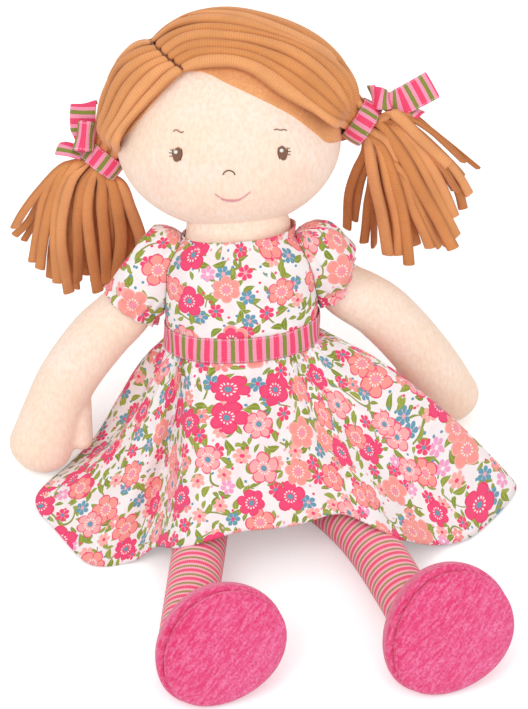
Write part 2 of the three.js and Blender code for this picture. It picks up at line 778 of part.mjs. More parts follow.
// Egg outline of the shoe, narrow at the heel
function shoeRing(centre, out, scale, grow, count) {
  const { normal, toe, flank } = shoeAxes();
  const middleOfRing = centre.clone().addScaledVector(normal, out);
  const points = [];
  for (let i = 0; i < count; i += 1) {
    const angle = (2 * Math.PI * i) / count;
    const egg = 1 + eggShare * Math.cos(angle);
    points.push(middleOfRing.clone()
      .addScaledVector(toe, Math.cos(angle) * (shoeHalfLength * scale + grow))
      .addScaledVector(flank, Math.sin(angle) * egg * (shoeHalfWidth * scale + grow)));
  }
  return points;
}

function bunRings(centre, grow, count, rows) {
  const rings = [];
  for (let k = rows - 1; k >= 0; k -= 1) {
    const angle = (Math.PI / 2) * (k / rows);
    const scale = Math.cos(angle) ** bunPowerShare;
    rings.push(shoeRing(centre, -(shoeDepth + grow) * Math.sin(angle), scale, grow * scale, count));
  }
  return rings;
}

// Legs lie forward from the hips; the shoes rest on their lower edge
const hips = {
  left: inFrame(bodyFrame, -hipSide, hipForward, hipDrop),
  right: inFrame(bodyFrame, hipSide, hipForward, hipDrop),
};
const kneeShares = { left: [-0.036, -0.336], right: [0.236, -0.329] };
const soleShares = { left: [0.056, -1.0007], right: [0.58, -0.945] };
const ankleShare = 0.62;
const legTipShare = 0.5;
const shoeRise = -Math.min(...bunRings(origin, 0, 20, 5).flat().map((p) => p.z)) - shoeFlat;

function soleCentre(side) {
  const [x, y] = soleShares[side];
  return new THREE.Vector3(hips[side].x + x * legReach, hips[side].y + y * legReach, shoeRise);
}

function knee(side) {
  const [x, y] = kneeShares[side];
  return new THREE.Vector3(hips[side].x + x * legReach, hips[side].y + y * legReach, legRadius + 3 * seamGap);
}

// Bun-shaped shoe: open at the sole's plane, or closed by a sole that bulges out of it
function shoeForm(side, grow, count, rows, bulge) {
  const { normal } = shoeAxes();
  const centre = soleCentre(side);
  const rings = bunRings(centre, grow, count, rows);
  if (bulge > 0) {
    for (const [out, scale] of soleRingShares) rings.push(shoeRing(centre, bulge * out, scale, grow, count));
  }
  const back = centre.clone().addScaledVector(normal, -shoeDepth - grow);
  return loft(rings, back, centre.clone().addScaledVector(normal, bulge));
}

function shoeOuter(side, grow) {
  return shoeForm(side, grow, 20, 5, 0);
}

function shoeInner(side, grow) {
  return shoeForm(side, grow, 12, 4, 0);
}

function makeShoe(side) {
  const wall = velourThickness;
  const inner = wall + seamGap;
  const { normal, toe, flank } = shoeAxes();
  const cavity = shoeInner(side, -wall);
  const openCavity = cavity.add(cavity.translate(normal.clone().multiplyScalar(wall).toArray()));
  const upper = shoeOuter(side, 0).subtract(floorBlock).subtract(openCavity.subtract(raisedFloor(wall)));
  const soleFrame = new THREE.Matrix4().makeBasis(toe, flank, normal).setPosition(soleCentre(side));
  const behindSole = block(
    overrun, overrun, overrun, new THREE.Vector3(0, 0, seamGap - overrun / 2), soleFrame);
  const soleHollow = shoeForm(side, -soleThickness, 12, 4, soleBulge - soleThickness);
  const sole = shoeForm(side, 0, 20, 5, soleBulge).subtract(behindSole).subtract(soleHollow)
    .subtract(floorBlock);
  const beyondFilling = block(
    overrun, overrun, overrun, new THREE.Vector3(0, 0, overrun / 2 - seamGap), soleFrame);
  const filling = shoeInner(side, -inner).subtract(beyondFilling).subtract(raisedFloor(inner));
  return { upper, sole, filling };
}

function legCurve(side) {
  const { normal, toe } = shoeAxes();
  const ankle = soleCentre(side).addScaledVector(normal, -shoeDepth * ankleShare)
    .addScaledVector(toe, -ankleHeelShift);
  ankle.z = Math.max(ankle.z, legRadius + seamGap);
  return new THREE.CatmullRomCurve3([hips[side], knee(side), ankle]);
}

function legForm(side, grow, count, rows) {
  const sections = [[0, legRadius, legRadius], [1, legAnkleRadius, legAnkleRadius]];
  return limb(legCurve(side), right, sections, legTipShare * legRadius, grow, count, rows, 2)
    .add(ball(legRootRadius + grow, hips[side], 10));
}

function makeLeg(side) {
  const wall = clothThickness;
  const inner = wall + seamGap;
  const cavity = legForm(side, -wall, 8, 5).subtract(shoeOuter(side, seamGap + wall));
  const slitPlace = legCurve(side).getPoint(0.15);
  const slit = block(seamSlit, seamOpening, 2 * legRadius, origin).translate(
    slitPlace.x, slitPlace.y, slitPlace.z + 1.2 * legRadius);
  const skin = legForm(side, 0, 12, 6).subtract(shoeOuter(side, seamGap)).subtract(floorBlock)
    .subtract(cavity).subtract(slit);
  const filling = legForm(side, -inner, 8, 5).subtract(shoeOuter(side, seamGap + inner));
  return { skin, filling };
}

// Dress
const bodiceInside = seamGap + bodiceEase;
const bodiceOutside = bodiceInside + clothThickness;

function makeBodice() {
  const shell = bodyOuter(bodiceOutside).subtract(bodyOuter(bodiceInside));
  const below = block(overrun, overrun, overrun, new THREE.Vector3(0, 0, waistHeight - overrun / 2), bodyFrame);
  const above = block(overrun, overrun, overrun, new THREE.Vector3(0, 0, necklineHeight + overrun / 2), bodyFrame);
  const sides = block(2 * (armPlane - seamGap), overrun, overrun, origin, bodyFrame);
  return shell.subtract(below).subtract(above).subtract(shoulderRod(armholeRadius)).intersect(sides);
}

// Sleeve: puffed from the shoulder, gathered by elastic, then a small ruffle
const sleeveShares = [[-0.8, 0.4], [-0.35, 0.72], [0, 0.93], [0.35, 1], [0.7, 0.98]];
const sleeveInsideStartShare = 0.2;
const ruffleWaveShare = 0.6;
const sleeveSides = 16;

function sleeveForm(side, grow) {
  const curve = armCurve(side);
  const hollow = grow < 0;
  const rings = [];
  const place = (distance, radius) => {
    const share = Math.max(0, distance / curve.getLength());
    const tangent = curve.getTangentAt(share);
    const centre = curve.getPointAt(share).addScaledVector(tangent, Math.min(0, distance));
    const a = right.clone().addScaledVector(tangent, -right.dot(tangent)).normalize();
    const b = new THREE.Vector3().crossVectors(tangent, a);
    rings.push(ring(centre, a.multiplyScalar(radius + grow), b.multiplyScalar(radius + grow), sleeveSides, 2));
  };
  sleeveShares.forEach(([at, swell], k) => {
    const earlier = hollow && k === 0 ? sleeveInsideStartShare : 0;
    place((at - earlier) * sleeveLength, puffRadius * swell);
  });
  place(sleeveLength, sleeveHemRadius);
  place(sleeveLength + ruffleLength / 2, sleeveHemRadius + (ruffleRadius - sleeveHemRadius) * ruffleWaveShare);
  place(sleeveLength + ruffleLength * (hollow ? 2 : 1), ruffleRadius);
  return loft(rings, middle(rings[0]), middle(rings[rings.length - 1]));
}

function makeSleeve(side) {
  return sleeveForm(side, 0).subtract(sleeveForm(side, -clothThickness)).subtract(insideOf(side, armPlane + seamGap));
}

function makeElastic(side) {
  const curve = armCurve(side);
  const share = sleeveLength / curve.getLength();
  const ringRadius = armGatherRadius + elasticGap + elasticRadius;
  const geometry = new THREE.TorusGeometry(ringRadius, elasticRadius, 4, 14);
  geometry.applyQuaternion(new THREE.Quaternion().setFromUnitVectors(up, curve.getTangentAt(share)));
  const place = curve.getPointAt(share);
  return toSolid(geometry.translate(place.x, place.y, place.z));
}

function waistRing(level, grow, count) {
  const [, wide, deep] = rowAt(bodyShares, (level - bodyBottom) / (bodyTop - bodyBottom));
  return bodyRing(level, wide, deep, grow, count);
}

function makeWaistRibbon() {
  const inner = bodiceOutside + seamGap;
  const levels = [-0.5, 0.5].map((half) => waistHeight + half * waistRibbonHeight);
  const outerRings = levels.map((level) => waistRing(level, inner + ribbonThickness, 2 * bodySides));
  const innerRings = levels.map((level) => waistRing(level, inner, 2 * bodySides));
  return sheetSolid(outerRings, innerRings, true);
}

// Hem of the skirt on the floor and over the legs: place, then fullness and spread of the fall
const hemShares = [
  [-0.875, -0.175, 0, 0.6, 0.62], [-0.78, -0.395, 0, 0.5, 0.5], [-0.66, -0.6, 0, 0.42, 0.46],
  [-0.475, -0.615, 0.03, 0.3, 0.44], [-0.38, -0.62, 0.13, 0.22, 0.43], [-0.28, -0.69, 0.235, 0.18, 0.43],
  [-0.1, -0.69, 0.25, 0.16, 0.42], [0.07, -0.625, 0.23, 0.16, 0.42], [0.24, -0.55, 0.2, 0.16, 0.42],
  [0.43, -0.545, 0.24, 0.18, 0.43], [0.57, -0.62, 0.25, 0.26, 0.44], [0.72, -0.645, 0.2, 0.38, 0.45],
  [0.88, -0.52, 0.04, 0.5, 0.46], [1.03, -0.4, 0, 0.62, 0.5], [1.225, -0.11, 0, 0.8, 0.5],
  [1.02, 0.04, 0, 0.88, 0.56], [0.72, 0.2, 0, 0.86, 0.66], [0.57, 0.48, 0, 0.62, 0.55],
  [0.32, 0.66, 0, 0.5, 0.5], [0, 0.7, 0, 0.5, 0.5], [-0.34, 0.62, 0, 0.55, 0.55],
  [-0.57, 0.42, 0, 0.66, 0.62], [-0.64, 0.22, 0, 0.76, 0.7], [-0.68, 0.03, 0, 0.78, 0.74],
];
const skirtCentreShare = 0.12;
const skirtFolds = 10;
const foldHemShare = 0.8;
const foldRiseShare = 0.3;

// Point on the curved fall of the cloth from waist to hem, t from 0 to 1
function fallPoint(start, foot, full, t) {
  const control = start.clone().lerp(foot, full.y);
  control.z = foot.z + (start.z - foot.z) * full.x;
  return start.clone().multiplyScalar((1 - t) * (1 - t))
    .addScaledVector(control, 2 * t * (1 - t)).addScaledVector(foot, t * t);
}

// Rows of the skirt's outer side: the seam under the ribbon, then the fall with its folds
function skirtUpper(columns, rows) {
  const hem = new THREE.CatmullRomCurve3(hemShares.map(([x, y, z]) => new THREE.Vector3(
    x * skirtReach, y * skirtReach, z * skirtReach + skirtHemLift)), true);
  const fullness = new THREE.CatmullRomCurve3(hemShares.map((row) => new THREE.Vector3(row[3], row[4], 0)), true);
  const headings = 360;
  const seam = waistRing(waistHeight - seamGap, bodiceOutside, headings);
  const waist = waistRing(waistHeight - waistRibbonHeight / 2 - skirtTuck, bodiceOutside, headings);
  const upper = Array.from({ length: rows + 2 }, () => []);
  for (let i = 0; i < columns; i += 1) {
    const foot = hem.getPoint(i / columns);
    const heading = Math.atan2(foot.y - skirtCentreShare * skirtReach, foot.x) / (2 * Math.PI);
    const turn = Math.round(headings * (heading < 0 ? heading + 1 : heading)) % headings;
    const start = waist[turn];
    upper[0].push(seam[turn]);
    const full = fullness.getPoint(i / columns);
    const out = new THREE.Vector3(foot.x - start.x, foot.y - start.y, 0).normalize();
    for (let r = 0; r <= rows; r += 1) {
      const t = r / rows;
      const place = fallPoint(start, foot, full, t);
      const swing = Math.sin((2 * Math.PI * skirtFolds * i) / columns) * Math.sqrt(t);
      const wave = swing * skirtFoldDepth * (1 - (1 - foldHemShare) * t);
      place.addScaledVector(out, wave);
      if (r > 0 && r < rows) place.z += Math.abs(wave) * foldRiseShare;
      upper[r + 1].push(place);
    }
  }
  return upper;
}

function makeSkirt() {
  const columns = 54;
  const upper = skirtUpper(columns, 6);
  const last = upper.length - 1;
  const lower = upper.map((row, r) => row.map((place, i) => {
    const across = row[(i + 1) % columns].clone().sub(row[(i + columns - 1) % columns]);
    const along = upper[Math.min(last, r + 1)][i].clone().sub(upper[Math.max(0, r - 1)][i]);
    const inward = new THREE.Vector3().crossVectors(across, along).normalize();
    return place.clone().addScaledVector(inward, clothThickness);
  }));
  return sheetSolid(upper, lower, true);
}

// Colours and materials
function fabric(colour, roughness) {
  return new THREE.MeshStandardMaterial({ color: colour, roughness, metalness: 0 });
}

const materials = {
  velour: fabric('#f6d9c3', 0.95),
  jersey: fabric('#c98a52', 0.9),
  felt: fabric('#c68650', 0.95),
  cotton: fabric('#f6e9ea', 0.85),
  ribbon: fabric('#d84c86', 0.7),
  knit: fabric('#e58fae', 0.9),
  shoeVelour: fabric('#e0409a', 0.95),
  stuffing: fabric('#f4f2ee', 1),
  thread: fabric('#8a5a33', 0.8),
  elastic: fabric('#ffffff', 0.8),
};

function toGeometry(solid) {
  const mesh = solid.getMesh();
  const geometry = new THREE.BufferGeometry();
  geometry.setAttribute('position', new THREE.Float32BufferAttribute(mesh.vertProperties, 3));
  geometry.setIndex(new THREE.Uint32BufferAttribute(mesh.triVerts, 1));
  geometry.computeVertexNormals();
  return geometry;
}

// The doll; it also carries the centres that its head, limbs and bunches turn about
const doll = new THREE.Group();
doll.name = 'rag_doll';
doll.userData.turningCentres = {
  neck: neckPivot,
  shoulders,
  hips,
  bunches: { left: bunchPivot('left'), right: bunchPivot('right') },
};

function addPart(name, solid, material) {
  const mesh = new THREE.Mesh(toGeometry(solid.simplify(sliver)), material);
  mesh.name = name;
  doll.add(mesh);
}

const body = makeBody();
addPart('body_skin', body.skin, materials.velour);
addPart('body_filling', body.filling, materials.stuffing);
const head = makeHead();
addPart('head_skin', head.skin, materials.velour);
addPart('head_filling', head.filling, materials.stuffing);
addPart('hair_cap', makeHairCap(), materials.felt);
addPart('parting_seam', makePartingSeam(), materials.thread);
addPart('bodice', makeBodice(), materials.cotton);
addPart('waist_ribbon', makeWaistRibbon(), materials.ribbon);
addPart('skirt', makeSkirt(), materials.cotton);
for (const side of ['left', 'right']) {
  addPart(`hair_strips_${side}`, makeHairStrips(side), materials.jersey);
  addPart(`hair_bunch_${side}`, makeBunch(side), materials.jersey);
  addPart(`hair_ribbon_${side}`, makeBand(side), materials.ribbon);
  addPart(`bow_${side}`, makeBow(side), materials.ribbon);
  const arm = makeArm(side);
  addPart(`arm_skin_${side}`, arm.skin, materials.velour);
  addPart(`arm_filling_${side}`, arm.filling, materials.stuffing);
  addPart(`sleeve_${side}`, makeSleeve(side), materials.cotton);
  addPart(`sleeve_elastic_${side}`, makeElastic(side), materials.elastic);
  const leg = makeLeg(side);
  addPart(`leg_skin_${side}`, leg.skin, materials.knit);
  addPart(`leg_filling_${side}`, leg.filling, materials.stuffing);
  const shoe = makeShoe(side);
  addPart(`shoe_upper_${side}`, shoe.upper, materials.shoeVelour);
  addPart(`shoe_sole_${side}`, shoe.sole, materials.shoeVelour);
  addPart(`shoe_filling_${side}`, shoe.filling, materials.stuffing);
}

export default doll;
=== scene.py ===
"""Seated rag doll with bunches, a floral dress, striped legs and padded shoes."""
import itertools
import math

import bpy
import numpy as np
from mathutils import Matrix, Vector


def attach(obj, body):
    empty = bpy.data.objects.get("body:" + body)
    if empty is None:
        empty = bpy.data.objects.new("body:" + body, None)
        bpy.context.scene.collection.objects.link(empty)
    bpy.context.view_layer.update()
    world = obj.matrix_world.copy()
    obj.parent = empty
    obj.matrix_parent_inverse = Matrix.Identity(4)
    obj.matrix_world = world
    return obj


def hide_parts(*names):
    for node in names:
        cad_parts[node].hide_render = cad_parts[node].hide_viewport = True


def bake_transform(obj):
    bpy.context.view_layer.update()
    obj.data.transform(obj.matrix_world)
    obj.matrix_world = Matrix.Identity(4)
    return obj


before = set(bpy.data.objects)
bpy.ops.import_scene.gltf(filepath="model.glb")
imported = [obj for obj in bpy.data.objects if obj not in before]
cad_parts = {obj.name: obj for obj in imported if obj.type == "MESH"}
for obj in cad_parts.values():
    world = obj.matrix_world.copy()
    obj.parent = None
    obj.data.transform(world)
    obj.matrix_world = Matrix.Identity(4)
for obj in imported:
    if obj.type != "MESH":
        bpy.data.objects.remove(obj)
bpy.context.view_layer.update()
bpy.ops.object.select_all(action='DESELECT')

MM = 0.001
DEG = math.pi / 180

# ---------------------------------------------------------------- sizes, in millimetres
seam_gap, cloth, felt = 0.35, 1.0, 1.3
body_half_width, body_half_depth, body_bottom, body_top = 41, 31, -27, 108
seat_half_depth, seat_back, seat_aside = 33.5, 50, 3
neck_height, neck_half_width, neck_radius = 112, 27, 19.5
head_half_width, head_front, head_back, head_top, head_low = 58.5, 45, 48, 61, 46
head_slim = 2.0
tie_radius, band_width = 9.2, 10.5
strip_width = 12
bow_width, bow_reach, bow_turn = 15, 20, 40
shoulder_side, shoulder_height, shoulder_radius = 41, 97, 14.2
arm_reach, arm_radius, arm_gather = 140, 15.6, 13.6
hand_half_width, hand_half_depth, hand_tip = 17, 14.5, 15
thumb_reach = 17.8
hip_side, hip_forward, hip_drop = 20, -12, -15
leg_radius, leg_ankle, leg_reach = 13.9, 13.3, 134
shoe_half_length, shoe_half_width, shoe_depth, shoe_flat = 34.2, 28.4, 37, 6.1
waist_height, waist_ribbon = 55, 12.7
skirt_reach, hem_lift = 120, 1.8
ribbon_repeat, knit_repeat = 8.9, 5.9
bodice_outside = seam_gap + 0.9 + cloth


# ---------------------------------------------------------------- camera
view_down = 40
focal_pixels, picture_width, picture_middle = 2500, 528, (264, 354.5)
eye = np.array([12.5703, -981.721, 904.4187])
look = np.array([0, math.cos(view_down * DEG), -math.sin(view_down * DEG)])
rise = np.array([0, math.sin(view_down * DEG), math.cos(view_down * DEG)])


def add_camera():
    data = bpy.data.cameras.new("view")
    data.sensor_fit = 'HORIZONTAL'
    data.sensor_width = 36
    data.lens = 36 * focal_pixels / picture_width
    data.clip_start, data.clip_end = 0.05, 20
    camera = bpy.data.objects.new("view", data)
    camera.location = (0.01257, -0.98172, 0.90442)
    camera.rotation_euler = ((90 - view_down) * DEG, 0, 0)
    bpy.context.collection.objects.link(camera)
    bpy.context.scene.camera = camera


add_camera()


def photo_ray(x, y):
    """Line of sight through a pixel of the photograph."""
    return look * focal_pixels + np.array([1, 0, 0]) * (x - picture_middle[0]) - rise * (y - picture_middle[1])


def photo_point(x, y, depth):
    """Place in the doll's frame that shows at a pixel of the photograph, at a given Y."""
    ray = photo_ray(x, y)
    return eye + ray * ((depth - eye[1]) / ray[1])


# ---------------------------------------------------------------- frames and curves
def leaning_frame(place, lean, roll):
    """Frame at a place, leaning back and rolled sideways by degrees."""
    turn = Matrix.Rotation(-roll * DEG, 4, 'Y') @ Matrix.Rotation(-lean * DEG, 4, 'X')
    return np.array(Matrix.Translation(place) @ turn)


def in_frame(base, points):
    points = np.asarray(points, float)
    return points @ base[:3, :3].T + base[:3, 3]


def turned(base, direction):
    return base[:3, :3] @ np.asarray(direction, float)


def unit(v):
    v = np.asarray(v, float)
    return v / np.linalg.norm(v, axis=-1, keepdims=True)


def spline(points, at, closed=False):
    """Smooth curve through points, at shares 0 to 1 of its spans."""
    p = np.asarray(points, float)
    n = len(p)
    spans = n if closed else n - 1
    at = np.asarray(at, float)
    place = (at % 1 if closed else np.clip(at, 0, 1)) * spans
    i = np.minimum(place.astype(int), spans - 1)
    w = (place - i)[:, None]
    if closed:
        p0, p1, p2, p3 = p[(i - 1) % n], p[i % n], p[(i + 1) % n], p[(i + 2) % n]
    else:
        ext = np.vstack([2 * p[0] - p[1], p, 2 * p[-1] - p[-2]])
        p0, p1, p2, p3 = ext[i], ext[i + 1], ext[i + 2], ext[i + 3]
    d0, d1, d2 = (np.maximum(np.linalg.norm(b - a, axis=1, keepdims=True), 1e-6) ** 0.5
                  for a, b in ((p0, p1), (p1, p2), (p2, p3)))
    t1 = ((p1 - p0) / d0 - (p2 - p0) / (d0 + d1) + (p2 - p1) / d1) * d1
    t2 = ((p2 - p1) / d1 - (p3 - p1) / (d1 + d2) + (p3 - p2) / d2) * d1
    return (p1 + t1 * w + (-3 * p1 + 3 * p2 - 2 * t1 - t2) * w ** 2
            + (2 * p1 - 2 * p2 + t1 + t2) * w ** 3)


def run_along(points):
    """Length of the way from the first point to each point."""
    return np.concatenate([[0], np.cumsum(np.linalg.norm(np.diff(points, axis=0), axis=1))])


def even(points, count):
    """Points at even steps of length along the smooth curve, and its length."""
    dense = spline(points, np.linspace(0, 1, 801))
    run = run_along(dense)
    at = np.linspace(0, run[-1], count)
    return np.stack([np.interp(at, run, dense[:, k]) for k in range(3)], 1), run[-1]


def tangents(path):
    return unit(np.gradient(path, axis=0))


def full_turn(count):
    return np.linspace(0, 2 * math.pi, count, endpoint=False)


def squared_circle(angle, power=0.8):
    """Cosine and sine of a circle drawn out towards a rounded square."""
    c, s = np.cos(angle), np.sin(angle)
    return np.sign(c) * np.abs(c) ** power, np.sign(s) * np.abs(s) ** power


def sphere_directions(down, turn):
    """Directions at angles down from the pole and turned about it."""
    down, turn = np.broadcast_arrays(down, turn)
    return np.stack([np.sin(down) * np.cos(turn), np.sin(down) * np.sin(turn), np.cos(down)], -1)


body_lean, body_roll, head_lean, head_rise, head_aside = 23, 2, 31, 45, -6
body_frame = leaning_frame((3, 0, 27), body_lean, body_roll)
neck_pivot = in_frame(body_frame, [0, 0, neck_height])
head_up = np.array([0, math.sin(head_lean * DEG), math.cos(head_lean * DEG)])
head_centre = neck_pivot + head_rise * head_up + [head_aside, 0, 0]
head_frame = leaning_frame(head_centre, head_lean, 0)


def head_point(direction, grow, slim=head_slim):
    """On the stuffed egg of the head, grown outwards; its left half is a little slimmer."""
    d = np.asarray(direction, float)
    wide = head_half_width - slim * (d[..., 0] < 0) + grow
    deep = np.where(d[..., 1] < 0, head_front, head_back) + grow
    tall = np.where(d[..., 2] > 0, head_top, head_low) + grow
    return in_frame(head_frame, np.stack([d[..., 0] * wide, d[..., 1] * deep, d[..., 2] * tall], -1))


# ---------------------------------------------------------------- meshes
def cloth_uv(across, down):
    """Places on the flat cloth, in metres, for rows and columns given in millimetres."""
    return np.stack(np.meshgrid(across, down), -1) * MM


def mesh_piece(name, points, faces, material, uv=None):
    """A mesh in millimetres; uv gives a place in metres for each corner of each face."""
    mesh = bpy.data.meshes.new(name)
    places = (np.asarray(points, float) * MM).tolist()
    mesh.from_pydata(places, [], [list(map(int, f)) for f in faces])
    if uv is not None:
        layer = mesh.uv_layers.new(name="cloth")
        layer.data.foreach_set("uv", np.asarray(uv, float).ravel())
    mesh.polygons.foreach_set("use_smooth", [True] * len(mesh.polygons))
    mesh.materials.append(material)
    mesh.update()
    piece = bpy.data.objects.new(name, mesh)
    bpy.context.collection.objects.link(piece)
    return piece


def grid_piece(name, grid, material, wrap=False, ends=False, uv=None, flip=False):
    """A sheet through rows of points. wrap joins its sides, ends closes both ends with a fan."""
    rows, columns = grid.shape[:2]
    points = grid.reshape(-1, 3)
    if uv is None:
        across = np.linalg.norm(np.diff(grid, axis=1, append=grid[:, :1]), axis=2).mean(0)
        u = np.concatenate([[0], np.cumsum(across)]) * MM
        down = np.linalg.norm(np.diff(grid, axis=0), axis=2).mean(1)
        v = np.concatenate([[0], np.cumsum(down)]) * MM
        uv = np.stack(np.meshgrid(u, v), -1)
    faces, corners = [], []
    for r in range(rows - 1):
        for c in range(columns if wrap else columns - 1):
            d = (c + 1) % columns
            quad = [(r, c, c), (r, d, c + 1), (r + 1, d, c + 1), (r + 1, c, c)]
            if flip:
                quad.reverse()
            faces.append([a * columns + b for a, b, _ in quad])
            corners += [uv[a, b] for a, _, b in quad]
    if ends:
        for r, turn in ((0, True), (rows - 1, False)):
            centre = len(points)
            points = np.vstack([points, grid[r].mean(0)])
            for c in range(columns):
                d = (c + 1) % columns
                tri = [(r * columns + c, uv[r, c]), (r * columns + d, uv[r, c + 1]), (centre, uv[r].mean(0))]
                if turn != flip:
                    tri.reverse()
                faces.append([k for k, _ in tri])
                corners += [w for _, w in tri]
    return mesh_piece(name, points, faces, material, np.array(corners))


def only(piece):
    """Selects one piece and makes it active."""
    bpy.ops.object.select_all(action='DESELECT')
    piece.select_set(True)
    bpy.context.view_layer.objects.active = piece


def finished(piece, kind, **settings):
    """Adds a modifier and applies it."""
    only(piece)
    modifier = piece.modifiers.new(kind.lower(), kind)
    for key, value in settings.items():
        setattr(modifier, key, value)
    bpy.ops.object.modifier_apply(modifier=modifier.name)
    piece.select_set(False)
    return piece


def rounded(piece, levels=1):
    return finished(piece, 'SUBSURF', levels=levels, render_levels=levels)


def thick(piece, amount, offset=-1):
    return finished(piece, 'SOLIDIFY', thickness=amount * MM, offset=offset, use_even_offset=False)


def joined(name, pieces, material):
    """Makes one piece of several, with one material."""
    bpy.ops.object.select_all(action='DESELECT')
    for piece in pieces:
        piece.select_set(True)
    bpy.context.view_layer.objects.active = pieces[0]
    bpy.ops.object.join()
    piece = bpy.context.view_layer.objects.active
    piece.name = piece.data.name = name
    bpy.ops.object.select_all(action='DESELECT')
    piece.data.materials.clear()
    piece.data.materials.append(material)
    return piece


def blended(piece, voxel, passes):
    """Melts joined forms into one stuffed skin."""
    finished(piece, 'REMESH', mode='VOXEL', voxel_size=voxel * MM)
    finished(piece, 'SMOOTH', factor=0.5, iterations=passes)
    piece.data.polygons.foreach_set("use_smooth", [True] * len(piece.data.polygons))
    return piece


def coordinates(piece):
    """Places of the corners, in millimetres."""
    flat = np.empty(len(piece.data.vertices) * 3)
    piece.data.vertices.foreach_get("co", flat)
    return flat.reshape(-1, 3) / MM


def reshape(piece, points):
    piece.data.vertices.foreach_set("co", (points * MM).ravel())
    piece.data.update()


def laid_on_floor(piece, points, least=0.0):
    """Cloth that rests on the floor flattens there."""
    points[:, 2] = np.maximum(points[:, 2], least)
    reshape(piece, points)


def section_rings(path, half_a, half_b, sideways, count, squareness=2.0):
    """Rings of points round a path; half_a lies along sideways, which is one direction or one for each point."""
    path = np.asarray(path, float)
    tangent = tangents(path)
    a = unit(sideways - (tangent * sideways).sum(1, keepdims=True) * tangent)
    b = np.cross(tangent, a)
    c, s = squared_circle(full_turn(count), 2 / squareness)
    half_a = np.broadcast_to(half_a, len(path))[:, None, None]
    half_b = np.broadcast_to(half_b, len(path))[:, None, None]
    return path[:, None] + a[:, None] * c[None, :, None] * half_a + b[:, None] * s[None, :, None] * half_b


def stuffed_tube(path, half_a, half_b, sideways, tip, count):
    """Rings of a limb whose far end closes in a dome."""
    half_a = np.broadcast_to(half_a, len(path)).astype(float)
    half_b = np.broadcast_to(half_b, len(path)).astype(float)
    end, heading = path[-1], tangents(path)[-1]
    angles = np.linspace(0, math.pi / 2, 10)[1:-1]
    path = np.vstack([path, [end + heading * tip * math.sin(a) for a in angles]])
    shrink = np.cos(angles)
    return section_rings(path, np.concatenate([half_a, half_a[-1] * shrink]),
                         np.concatenate([half_b, half_b[-1] * shrink]), sideways, count)


